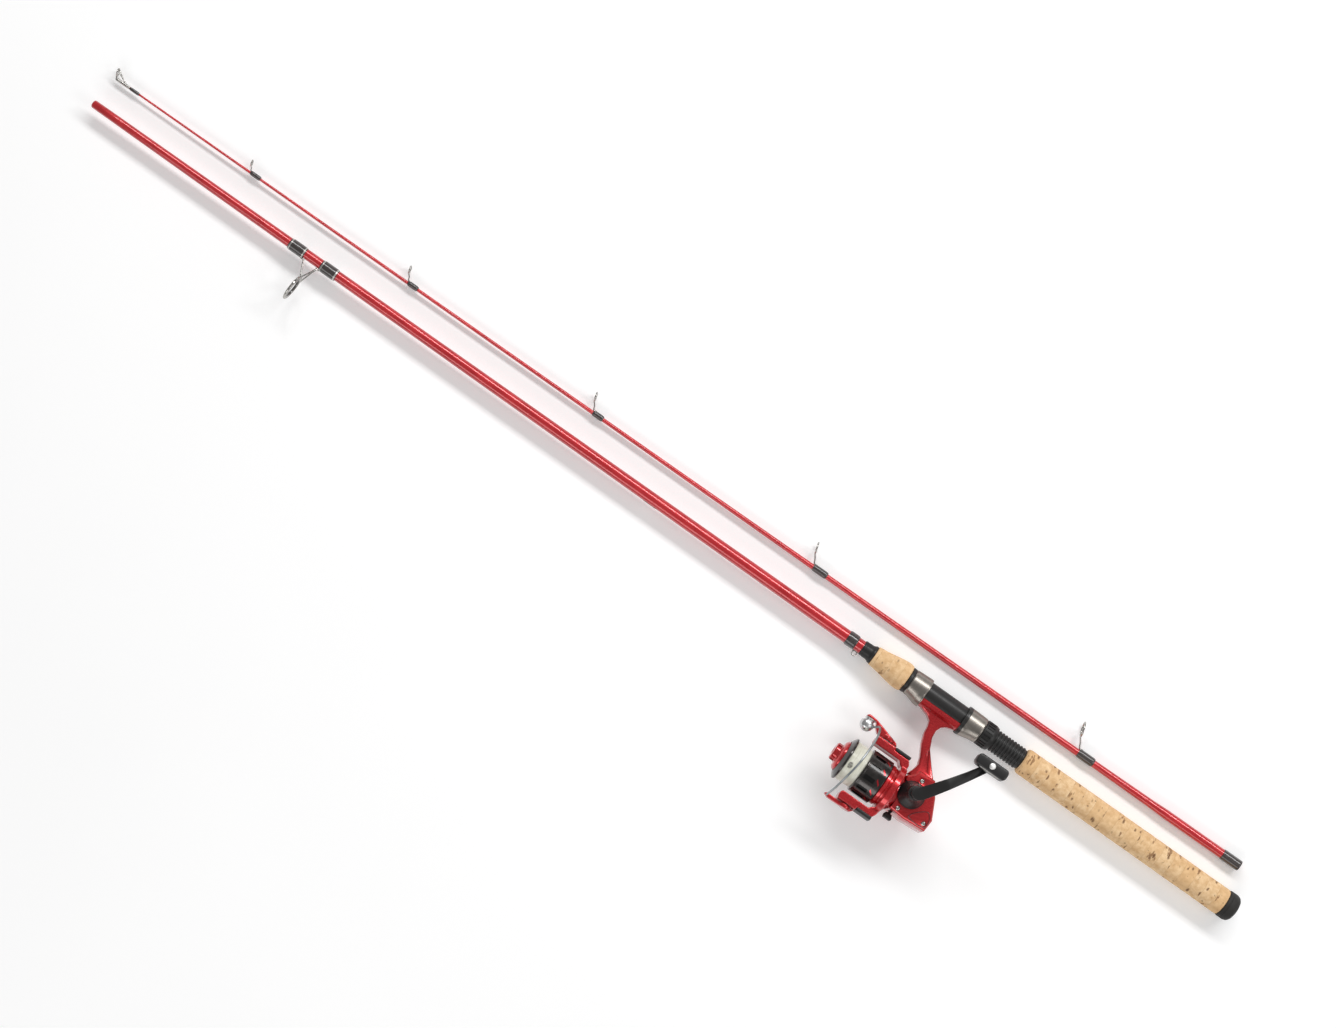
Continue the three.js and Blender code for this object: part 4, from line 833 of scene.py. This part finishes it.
# %% Hook keeper: a small wire arch on a curved foot
keeper_arch = wire("hook_keeper_wire", [
    (407.4, 6.75, 0), (407.45, 9.3, 0), (408.6, 10.9, 0), (410.4, 10.9, 0), (411.5, 9.3, 0),
    (411.6, 6.75, 0),
], 0.6, count=20)
saddle = turned("hook_keeper_foot", [
    (406.7, 6.35), (406.7, 6.95), (407.0, 7.1), (412.0, 7.1), (412.3, 6.95), (412.3, 6.35),
    (406.7, 6.35),
], sides=10, arc=44)
edit(saddle)
bpy.ops.mesh.select_all(action="DESELECT")
bpy.ops.mesh.select_non_manifold()
bpy.ops.mesh.edge_face_add()
leave()
tidy_mesh(saddle)
saddle.matrix_world = Matrix.Rotation(math.radians(-22), 4, "X")
pick(saddle)
bpy.ops.object.transform_apply(location=True, rotation=True, scale=True)
keeper = join("hook_keeper_piece", [keeper_arch, saddle])
hand_over(keeper, "rod", GUIDE_STEEL, ["hook_keeper"], REEL)

# %% A plain paper label on the blank
def band_patch(name, start, end, radius, thickness, first, last):
    """A thin curved patch on the blank between two angles."""
    patch = turned(name, [
        (start, radius), (start, radius + thickness), (end, radius + thickness), (end, radius),
        (start, radius),
    ], sides=12, arc=last - first)
    edit(patch)
    bpy.ops.mesh.select_all(action="DESELECT")
    bpy.ops.mesh.select_non_manifold()
    bpy.ops.mesh.edge_face_add()
    leave()
    tidy_mesh(patch)
    patch.matrix_world = Matrix.Rotation(math.radians(first), 4, "X")
    pick(patch)
    bpy.ops.object.transform_apply(location=True, rotation=True, scale=True)
    return patch


def paper():
    finish = Finish("paper_label", Coat_Weight=0.3, Coat_Roughness=0.2)
    cloud = finish.noise(240, 4)
    fibres = finish.noise(2600, 2)
    finish.show(Base_Color=finish.blend(cloud.spread(0.35, 0.7), (0.66, 0.63, 0.56), (0.84, 0.82, 0.76)),
                Roughness=fibres.spread(0.3, 0.7, 0.5, 0.7))
    return finish.bump(fibres, 0.00003, 0.4).material


label = band_patch("paper_label", 627.5, 641.0, 5.83, 0.12, 12, 62)
hand_over(label, "rod", paper())

# %% [markdown]
# ## Guides
# Every guide is a ring of round wire on a leg whose foot is pressed flat and tied down with
# thread. One function makes the ring, another the foot, and the parts are joined. The lower
# guide has one leg in front and two behind, and a ceramic lining in its ring.

# %% Foot of a guide
def flat_foot(name, start, end, low, width=1.8, height=0.7):
    """A strip with bevelled edges, under the thread."""
    bpy.ops.object.select_all(action="DESELECT")
    bpy.ops.mesh.primitive_cube_add(size=1, location=Vector(((start + end) / 2, low + height / 2, 0)) * MM,
                                    scale=Vector((abs(end - start), height, width)) * MM)
    foot = bpy.context.object
    foot.name = name
    bpy.ops.object.transform_apply(location=True, rotation=True, scale=True)
    modify(foot, "BEVEL", width=0.22 * MM, segments=2)
    return foot


LEAN = math.radians(17)
parts = [ring("lower_guide", (1004.3, 32.2, 0), 12.6, 1.25, LEAN / 5, 64)]
parts.append(wire("front_leg", [
    (1014.6, 6.0, 0), (1011.5, 6.3, 0), (1007.5, 14.0, 0), (1003.9, 21.0, 0),
], 0.85, 16, end_radius=0.6))
for side in (-1, 1):
    parts.append(wire("rear_leg", [
        (994.5, 6.0, side * 0.35), (997.0, 6.4, side * 0.5), (1000.6, 15.5, side * 4.4),
        (1004.0, 25.0, side * 9.1),
    ], 0.8, 16, end_radius=0.6))
parts.append(flat_foot("front_foot", 1010.3, 1024.9, 5.1))
parts.append(flat_foot("rear_foot", 983.7, 998.3, 5.1))
lower_guide = join("lower_guide", parts)
hand_over(lower_guide, "rod", GUIDE_STEEL, ["stripper_guide"], REEL, 60)

lining = turned("lower_guide_lining", rounded([
    (-1.15, 8.7), (-1.15, 9.6), (-0.5, 9.9), (0.5, 9.9), (1.15, 9.6), (1.15, 8.7), (0, 8.35),
    (-1.15, 8.7),
], 0.3), sides=64)
lining.matrix_world = (
    Matrix.Translation(Vector((1004.3, 32.2, 0)) * MM) @ Matrix.Rotation(-LEAN / 5, 4, "Z"))
pick(lining)
bpy.ops.object.transform_apply(location=True, rotation=True, scale=True)
hand_over(lining, "rod", CERAMIC, ["stripper_ring"], REEL, 60)

# %% Wraps of the lower guide
for word, start, end, node in (
        ("rear", 978.7, 995.7, "stripper_rear_wrap"),
        ("front", 1012.9, 1029.9, "stripper_front_wrap")):
    wrap = turned(f"lower_guide_{word}_thread",
                  wrap_profile(start, end, butt_radius, 0.95), at=(0, 0.3, 0), sides=56)
    hand_over(wrap, "rod", STRIPPER_THREAD, [node], REEL)

# %% [markdown]
# ## The tip section
# The tip section is a thinner cone with a socket at its thick end, bound with thread so that
# it doesn't split. Its guides stand on one leg, lean towards the tip, and get smaller.

# %% Tip blank and ferrule
TIP_TAPER = [(0, 4.45), (82, 4.45), (94, 3.95), (162, 3.35), (600, 2.05), (1030, 1.3), (1217, 0.9)]


def tip_radius(place):
    return taper(TIP_TAPER, place)


tip_points = [(x, tip_radius(x)) for x in (1, 40, 81, 84, 88, 92, 95, *range(110, 1210, 30))]
upper_blank = turned("upper_blank", [
    (74, 0), (70, 3.9), (0, 4.12), (0, 4.3), *tip_points, (1216.4, 0.9), (1217, 0.6), (1217, 0),
], sides=40)
hand_over(upper_blank, "tip_section", RED_BLANK, ["tip_blank"], TIP)

ferrule_thread = turned("ferrule_thread", [
    (0, 4.58), (0, 4.85), (0.5, 5.02), (1.4, 5.05), (17.2, 5.05), (18.3, 4.98), (19, 4.75), (19, 4.58),
    (0, 4.58),
], sides=56)
hand_over(ferrule_thread, "tip_section", THREAD, ["ferrule_wrap"], TIP)

# %% Single-foot guides, all by one function
GUIDES = [
    # wrap start, wrap length, ring radius, ring height, wire
    (159.5, 17, 7.4, 20, 0.85),
    (450, 15, 6, 16, 0.8),
    (694, 11, 4.9, 13.2, 0.75),
    (896, 10.8, 4.1, 11, 0.7),
    (1067.5, 11, 3.3, 8, 0.6),
]
for number, (start, length, radius, height, thick) in enumerate(GUIDES, 1):
    end = start + length
    foot_low = tip_radius(start) + 0.3
    low = foot_low + 0.35
    rise = height - radius + thick
    base = end + 0.6 + (rise - low) * 0.62
    centre = base + (radius - thick) * math.sin(LEAN)
    parts = [ring(f"guide_{number}_piece", (centre, height - 0.15, 0), radius, thick, LEAN, 56)]
    parts.append(wire("leg", [
        (end - 2.5, low, 0), (end + 0.6, low + 0.1, 0),
        (end + (rise - low) * 0.33, low + (rise - low) * 0.5, 0),
        (base, rise, 0),
    ], thick * 1.02, 14, end_radius=thick * 0.85))
    parts.append(flat_foot("foot", end - length * 0.7, end + 1, foot_low))
    guide = join(f"guide_{number}_piece", parts)
    hand_over(guide, "tip_section", GUIDE_STEEL, [f"guide_{number}"], TIP, 60)
    wrap = turned(f"guide_{number}_thread",
                  wrap_profile(start, end, tip_radius, 0.95), at=(0, 0.3, 0), sides=44)
    hand_over(wrap, "tip_section", THREAD, [f"guide_{number}_wrap"], TIP)

# %% Tip guide: a tube pushed over the end, two braces and a small ring
tube = turned("tip_guide", rounded([
    (1210.0, 0), (1210.0, 1.3), (1211.0, 1.5), (1223.8, 1.5), (1225.0, 1.05), (1225.0, 0),
], 0.25), sides=32)
parts = [tube, ring("tip_ring", (1226.4, 5.6, 0), 4.0, 0.65, LEAN, 48)]
for side in (-1, 1):
    parts.append(wire("brace", [
        (1214.6, 1.1, side * 0.5), (1220.5, 3.9, side * 1.5), (1226.8, 7.6, side * 2.9),
    ], 0.45, 12))
parts.append(wire("stem", [(1222.5, 0.6, 0), (1224.6, 0.9, 0), (1225.6, 2.2, 0)], 0.75, 8, end_radius=0.6))
tip_guide = join("tip_guide", parts)
hand_over(tip_guide, "tip_section", GUIDE_STEEL, ["tip_top"], TIP, 60)
tip_thread = turned("tip_guide_thread", wrap_profile(1199.7, 1209.7, tip_radius, 0.62), sides=36)
hand_over(tip_thread, "tip_section", THREAD, ["tip_top_wrap"], TIP)

# %% [markdown]
# ## The reel's castings
# The housing, its cover, the rotor and the bail's two arms are cast. Their solids in the
# frame have the true outline, so each is copied, its loose triangles are merged, and its
# edges are broken by a bevel, as the mould leaves them.

# %% Housing, cover, rotor and arms
BODIES = {
    "housing_casting": ("reel_housing", "rod", "red_paint", RED_PAINT, 0.45),
    "cover_casting": ("side_cover", "rod", "red_paint", RED_PAINT, 0.3),
    "rod_side_arm_cover": ("arm_cover_1", "rotor_set", "reel_black", REEL_BLACK, 0.3),
    "far_side_arm_cover": ("arm_cover_2", "rotor_set", "reel_black", REEL_BLACK, 0.3),
    "reverse_lever": ("anti_reverse_lever", "lever", "reel_black", REEL_BLACK, 0.3),
    "crank_arm": ("handle_arm", "crank", "reel_black", REEL_BLACK, 0.6),
}
for name, (node, body, slot, material, bevel) in BODIES.items():
    hand_over(cast(name, node, bevel), body, material, [node])


def melt(piece, voxel=0.5, passes=8):
    """Rounds a casting all over, as if its edges had been tumbled."""
    modify(piece, "REMESH", mode="VOXEL", voxel_size=voxel * MM, use_smooth_shade=True)
    modify(piece, "SMOOTH", factor=0.5, iterations=passes)


for name, node in (("bail_arm_casting", "bail_arm"), ("bail_lever_casting", "bail_lever")):
    casting = cast(name, node, 0)
    melt(casting, 0.4)
    hand_over(casting, "bail", RED_PAINT, [node], angle=80)

# %% [markdown]
# ## The rotor
# The rotor's cup is a turned shape and its two arms are cast with it. The frame's solid has
# flats round the cup that would show as facets, so a round core is cut out of its copy, which
# leaves the arms, and a smooth turned cup takes the core's place.

# %% Rotor
CUP = [
    (312.7, 20.3), (312.7, 22.6), (313.0, 23.4), (313.7, 24.1), (318.3, 24.1), (318.9, 23.6),
    (319.3, 22.4), (319.5, 20.4), (319.7, 18.9), (321.3, 18.9), (321.5, 19.5), (322.0, 19.9),
    (324.8, 19.9),
    (325.3, 19.4), (325.4, 17.7), (338.4, 17.7), (338.4, 15.9), (326.6, 15.9), (326.6, 2.8),
    (322.5, 2.8),
    (322.5, 15.9), (317.3, 17.2), (317.3, 20.3), (312.7, 20.3),
]
rotor_arms = cast("rotor_arms", "rotor", 0)
core = turned("core", [
    (311.0, 0), (311.0, 22.6), (318.4, 22.6), (319.0, 21.6), (319.4, 20.8), (340.0, 20.8), (340.0, 0),
], "x", (0, ROTOR_Y, 0), 96)
settle(core, REEL)
bpy.ops.object.select_all(action="DESELECT")
bpy.ops.mesh.primitive_cube_add(
    size=1, location=Vector((335, ROTOR_Y, 0)) * MM, scale=Vector((60, 90, 15.1)) * MM)
arm_span = bpy.context.object
bpy.ops.object.transform_apply(location=True, rotation=True, scale=True)
settle(arm_span, REEL)
modify(rotor_arms, "BOOLEAN", operation="INTERSECT", object=arm_span, solver="EXACT")
modify(rotor_arms, "BOOLEAN", operation="DIFFERENCE", object=core, solver="EXACT")
for tool in (core, arm_span):
    bpy.data.objects.remove(tool)
melt(rotor_arms, 0.5, 14)
cup = turned("rotor_cup", rounded(CUP, 0.3), "x", (0, ROTOR_Y, 0), 96)
settle(cup, REEL)
rotor = join("rotor_casting", [cup, rotor_arms])
hand_over(rotor, "rotor_set", RED_PAINT, ["rotor"], angle=50)

# %% Turned reel parts
def on_crank(name, profile, body, material, replaces, sides=64, x=CRANK[0], y=CRANK[1]):
    piece = turned(name, profile, "z", (x, y, 0), sides)
    return hand_over(piece, body, material, replaces, REEL)


def on_rotor(name, profile, body, material, replaces, sides=72):
    piece = turned(name, profile, "x", (0, ROTOR_Y, 0), sides)
    return hand_over(piece, body, material, replaces, REEL)


on_crank("side_screw_cap", rounded([
    (-24.3, 0), (-24.3, 8.6), (-29.4, 8.6), (-30.2, 7.7), (-30.2, 5.2), (-29.6, 4.9), (-29.6, 0),
], 0.4), "rod", REEL_BLACK, ["side_cap"])
on_crank("crank_hub", rounded([
    (14.0, 0), (14.0, 12.4), (14.6, 12.6), (16.0, 12.6), (16.6, 12.2), (17.4, 11.6), (20, 10.4),
    (23, 8.9), (27, 7.5),
    (31, 7.0), (34.8, 6.8), (36.0, 5.8), (36.0, 0),
], 0.4), "crank", REEL_BLACK, ["handle_hub"])

# %% [markdown]
# ## Spool
# The spool is turned in one piece: a wide skirt that covers the rotor's hub, a narrow drum for
# the line and a polished lip. The slots are pressed in afterwards, by moving faces of the skirt
# inwards, which keeps the mesh closed.

# %% Spool: a skirt with pressed slots, and a polished lip
SKIRT_SLOTS = 12
spool = turned("line_spool", rounded([
    (326.0, 20.2), (325.7, 20.9), (326.0, 21.5), (328.3, 21.5), (330.0, 21.5), (333.0, 21.5),
    (343.6, 21.5),
    (344.2, 21.2), (344.8, 21.2), (345.2, 21.5), (346.2, 21.4), (346.8, 20.6),
    (346.8, 12.0), (362.4, 12.0), (362.4, 20.4), (362.8, 20.9), (363.4, 21.0), (364.2, 20.8),
    (364.9, 19.9), (367.0, 16.3),
    (367.2, 15.7), (367.0, 15.1), (364.8, 14.9), (364.8, 1.7), (336.0, 1.7), (336.0, 4.0),
    (344.0, 4.0), (344.0, 20.2), (326.0, 20.2),
], 0.25), "x", (0, ROTOR_Y, 0), SKIRT_SLOTS * 8)


def pressed(piece, low, high, radius, count, first, last, depth, center=(ROTOR_Y, 0)):
    """Presses in the faces of a band that lie in a share of each of count equal sectors."""
    for face in piece.data.polygons:
        x, y, z = face.center / MM
        away = math.hypot(y - center[0], z - center[1])
        share = (math.degrees(math.atan2(z - center[1], y - center[0])) % (360 / count)) * count / 360
        face.select = low < x < high and radius[0] < away < radius[1] and first < share < last
    for part in (*piece.data.edges, *piece.data.vertices):
        part.select = False
    pick(piece)
    bpy.ops.object.mode_set(mode="EDIT")
    bpy.ops.mesh.select_mode(type="FACE")
    bpy.ops.mesh.extrude_region_shrink_fatten(
        TRANSFORM_OT_shrink_fatten={"value": -depth * MM, "use_even_offset": False})
    leave()


pressed(spool, 333.2, 343.5, (21.2, 21.8), SKIRT_SLOTS, 0.24, 0.64, 1.0)


SPOOL_AXIS = (ROTOR_Y * MM * 0.97815, ROTOR_Y * MM * 0.20791)


def spool_lacquer():
    """Dark metallic lacquer, a slanted red mark behind each skirt slot, painted shade in the slots."""
    finish = Finish("spool_metal", Metallic=0.75, Coat_Weight=0.6, Coat_Roughness=0.14)
    along, down = finish.x, finish.z * 0.97815 - finish.y * 0.20791
    across = finish.y * 0.97815 + finish.z * 0.20791 - ROTOR_Y * MM
    turn = down.sum("ARCTAN2", across) * (SKIRT_SLOTS / (2 * math.pi))
    slanted = (turn - (along - 0.3295) * 95).fraction()
    mark = slanted.band(0.42, 0.60) * along.band(0.3282, 0.3318)
    cloud = finish.noise(160, 3)
    lacquer = finish.blend(cloud.spread(0.35, 0.7), (0.030, 0.026, 0.025), (0.050, 0.043, 0.040))
    # inside the pressed slots the colour is near black: painted shade in the recesses
    slot_shade = (finish.radius(SPOOL_AXIS) < 21.2 * MM) * along.band(0.3330, 0.3437)
    dark = finish.blend(slot_shade, lacquer, (0.006, 0.005, 0.005))
    finish.show(Base_Color=finish.blend(mark, dark, (0.55, 0.012, 0.02)),
                Roughness=cloud.spread(0.3, 0.7, 0.18, 0.3))
    return finish.bump(cloud, 0.00001, 0.4).material


hand_over(spool, "spool_set", spool_lacquer(), ["spool"], REEL)

print("reel castings ready")

# %% [markdown]
# ## Line on the spool
# Line is wound side by side and slightly crossed. The winding is turned with a ridge for each
# visible turn, and it stands a little higher at the middle, as a filled spool does.

# %% Winding
turns = []
TURN_WIDTH = 0.42
count = int((362.2 - 347.0) / TURN_WIDTH)
for i in range(count):
    start = 347.0 + i * TURN_WIDTH
    middle = (start - 354.6) / 7.6
    height = 19.45 - 0.5 * middle * middle
    turns += [
        (start, height - 0.14), (start + TURN_WIDTH * 0.3, height), (start + TURN_WIDTH * 0.7, height),
    ]
on_rotor("wound_line", [(346.95, 12.2), *turns, (362.25, 18.8), (362.25, 12.2), (346.95, 12.2)],
         "spool_set", LINE, ["line_winding"])

# %% Drag knob with finger ridges
knob = turned("drag_adjuster", rounded([
    (366.7, 1.7), (366.7, 14.5), (368.4, 14.55), (369.2, 14.1), (370.7, 12.2), (371.2, 9.4),
    (371.9, 8.5), (375.4, 8.5),
    (376.5, 7.4), (376.5, 3.6), (376.0, 3.2), (376.0, 0), (373.9, 0), (373.9, 1.7), (366.7, 1.7),
], 0.35), "x", (0, ROTOR_Y, 0), 80)
pressed(knob, 371.9, 375.6, (7.6, 8.8), 10, 0.3, 0.7, 0.9)
hand_over(knob, "drag", RED_PAINT, ["drag_knob"], REEL, 28)

# %% [markdown]
# ## Bail and roller
# The bail is a hoop of hard wire. It leaves a chromed ball beside the line roller, arches over
# the handle side of the spool, and ends in the lever on the far side. The roller is a small
# chromed pulley on which the line runs.

# %% Bail wire, ball and roller
ROLLER = 364.6
hoop = wire("bail_hoop", [
    (361.2, 56.2, 2), (357.2, 53.2, 9), (355, 54.6, 20), (353.8, 66.8, 32.6), (355, 90.8, 41),
    (357.4, 108.8, 37.4), (359.2, 121.8, 23.5), (359.6, 127.0, 3.6),
], 1.0, count=72, sides=14)
BALL_Y, BALL_RADIUS = 54.4, 6.6
ball_profile = []
for step in range(0, 19):
    angle = math.radians(step * 6)
    ball_profile.append((BALL_Y + BALL_RADIUS * math.cos(angle), BALL_RADIUS * math.sin(angle)))
ball_profile.append((ball_profile[-1][0], 0))
ball = turned("bail_ball", ball_profile, "y", (ROLLER, 0, 0), 56)
hand_over(hoop, "bail", BAIL_STEEL, ["bail_wire"], REEL, 50)
hand_over(ball, "bail", CHROME, (), REEL, 50)
roller = turned("line_roller_piece", rounded([
    (48.8, 0), (48.8, 5.2), (49.2, 5.3), (49.8, 4.6), (50.2, 4.35), (51.0, 4.35), (51.6, 5.0),
    (52.0, 5.2),
    (52.05, 4.6), (52.05, 0),
], 0.2), "y", (ROLLER, 0, 0), 56)
hand_over(roller, "roller", CHROME, ["line_roller"], REEL, 50)

# %% [markdown]
# ## Crank knob
# The knob is a flat paddle that thumb and finger hold. It starts as a box, its long edges are
# rounded by a bevel, and a second, finer bevel softens its sharp edges. A polished rivet holds
# it to the arm, and a pale insert runs along its side.

# %% Knob, rivet and insert
ARM = math.radians(-126)
KNOB = (CRANK[0] + 63.5 * math.cos(ARM), CRANK[1] + 63.5 * math.sin(ARM))
bpy.ops.object.select_all(action="DESELECT")
bpy.ops.mesh.primitive_cube_add(size=1, location=Vector((KNOB[0] - 0.6, KNOB[1], 64.5)) * MM,
                                scale=Vector((31, 10.5, 13)) * MM)
paddle = bpy.context.object
paddle.name = "crank_knob"
bpy.ops.object.transform_apply(location=True, rotation=True, scale=True)
edit(paddle, "EDGE", everything=False)
leave()
for edge in paddle.data.edges:
    a, b = (paddle.data.vertices[v].co for v in edge.vertices)
    edge.select = abs(a.z - b.z) > 5 * MM
pick(paddle)
bpy.ops.object.mode_set(mode="EDIT")
bpy.ops.mesh.bevel(offset=3.6 * MM, segments=5, affect="EDGES")
leave()
modify(paddle, "BEVEL", width=1.7 * MM, segments=4, limit_method="ANGLE", angle_limit=math.radians(40))
neck = turned("neck", rounded([
    (51.2, 1.9), (51.2, 4.3), (56.5, 3.7), (58.5, 5.2), (59.5, 5.2), (59.5, 1.9), (51.2, 1.9),
], 0.3), "z", (*KNOB, 0), 40)
crank_knob = join("crank_knob", [paddle, neck])
hand_over(crank_knob, "knob", REEL_BLACK, ["handle_knob"], REEL, 40)
insert = turned("knob_side_insert", rounded([
    (-10.5, 0), (-10.5, 1.3), (-9.5, 2.2), (9.5, 2.2), (10.5, 1.3), (10.5, 0),
], 0.6), "x", (KNOB[0] - 0.6, KNOB[1] + 3.6, 67.2), 24)
hand_over(insert, "knob", black("knob_insert", 1400, 0.5, (0.52, 0.50, 0.47)), (), REEL)

rivet = turned("knob_rivet", [
    (47.95, 0), (47.95, 1.8), (71.2, 1.8), (71.2, 2.9), (71.35, 3.0), (71.6, 2.95), (72.0, 2.6),
    (72.25, 2.0),
    (72.4, 1.1), (72.45, 0),
], "z", (*KNOB, 0), 48)
hand_over(rivet, "crank", RIVET_STEEL, ["knob_pin"], REEL, 50)

# %% [markdown]
# ## Small things on the cover
# The side cover has a raised outline cast into it, and three screws hold it. The outline is made
# as a thin round wire that follows a few points over the cover's face.

# %% A raised panel's edge on the cover
PANEL = [
    (291.0, 103.2), (284.0, 104.4), (275.2, 103.8), (272.8, 101.5), (273.2, 95.5),
    (277.0, 90.4), (281.4, 91.6), (288.6, 98.4), (291.0, 103.2),
]
panel = wire("cover_panel_shade_line", [(x, y, 13.5) for x, y in PANEL], 0.45, count=64, sides=10)
# the wire's dark red is painted shade along the step of the cover's raised outline
hand_over(panel, "rod", PAINTED_SHADE_RED, (), REEL, 50)

# %% Screws in the cover
SCREWS = [(297.5, 70.2), (302.2, 102.2), (276.0, 100.6)]
for number, (x, y) in enumerate(SCREWS, 1):
    screw = turned(f"cover_screw_{number}_piece", rounded([
        (3.3, 0), (3.3, 1.2), (12.2, 1.2), (12.2, 2.1), (13.2, 2.1), (13.7, 1.5), (13.7, 1.1),
        (13.0, 0.9), (13.0, 0),
    ], 0.2), "z", (x, y, 0), 36)
    hand_over(screw, "rod", STEEL, [f"cover_screw_{number}"], REEL)

# %% [markdown]
# ## Pieces kept from the frame
# Bearings, gears and the shaft are hidden inside, so their solids stay as they are and only
# take a material.

# %% Inner parts
KEPT = {
    "handle_bearing": STEEL, "pinion_bearing": STEEL, "main_shaft": STEEL,
    "drive_gear": BRASS, "pinion_gear": BRASS, "rotor_nut": BRASS,
    "oscillation_gear": REEL_BLACK, "crosswind_block": REEL_BLACK, "drag_washer": FIBRE,
}
for node, material in KEPT.items():
    solid = frame["nodes"][node]
    solid.data.materials.clear()
    solid.data.materials.append(material)
print("kept from the frame:", len(KEPT))

# %% [markdown]
# ## Floor, light and camera
# The rod lies on a plain pale floor. One long, narrow softbox draws a thin highlight along the
# round rods, and two weaker ones fill the shadows. The surroundings stay dim, because a bright
# sky would wash out the red. The camera looks straight down and is turned so that the rod lies
# across the picture.

# %% Floor
bpy.ops.object.select_all(action="DESELECT")
bpy.ops.mesh.primitive_plane_add(size=24, location=(0.6, 0, FLOOR - 0.0002))
floor = bpy.context.object
floor.name = "floor"
bpy.ops.object.transform_apply(location=True, rotation=True, scale=True)
pale = Finish("floor_paper", Specular_IOR_Level=0.2, Emission_Color=(1, 1, 1, 1), Emission_Strength=0.2)
paper_cloud = pale.noise(3, 3)
pale.show(Base_Color=pale.blend(paper_cloud, (0.86, 0.86, 0.86), (0.90, 0.90, 0.90)), Roughness=0.9)
floor.data.materials.append(pale.material)

# %% Lights
world = bpy.data.worlds.new("studio")
bpy.context.scene.world = world
world.use_nodes = True
world.node_tree.nodes["Background"].inputs["Color"].default_value = (1, 1, 1, 1)
world.node_tree.nodes["Background"].inputs["Strength"].default_value = 0.27


def lamp(name, place, size, power, target=(0.6, 0, 0)):
    bpy.ops.object.light_add(type="AREA", location=place)
    light = bpy.context.object
    light.name = name
    light.data.shape = "RECTANGLE"
    light.data.size, light.data.size_y = size
    light.data.energy = power
    light.rotation_euler = (Vector(target) - Vector(place)).to_track_quat("-Z", "Y").to_euler()
    return light


lamp("key_softbox", (0.6, -1.7, 1.6), (3.0, 0.4), 46)
lamp("fill_softbox", (0.5, 2.1, 1.5), (2.6, 1.0), 20)
lamp("end_softbox", (-1.5, -0.2, 1.9), (1.2, 1.0), 12)

# %% Camera
CAMERA_HEIGHT = 2.5
FRAME_TURN = 215.27
SENSOR_WIDTH = 36
LENS = 75.7
bpy.ops.object.camera_add(location=(0.616, 0.003, CAMERA_HEIGHT), rotation=(0, 0, math.radians(FRAME_TURN)))
camera = bpy.context.object
camera.name = "camera"
camera.data.sensor_width = SENSOR_WIDTH
camera.data.lens = LENS
camera.data.clip_end = 50
bpy.context.scene.camera = camera
bpy.context.scene.view_settings.view_transform = "Standard"

# %% Sizes
print("pieces made:", len(made))
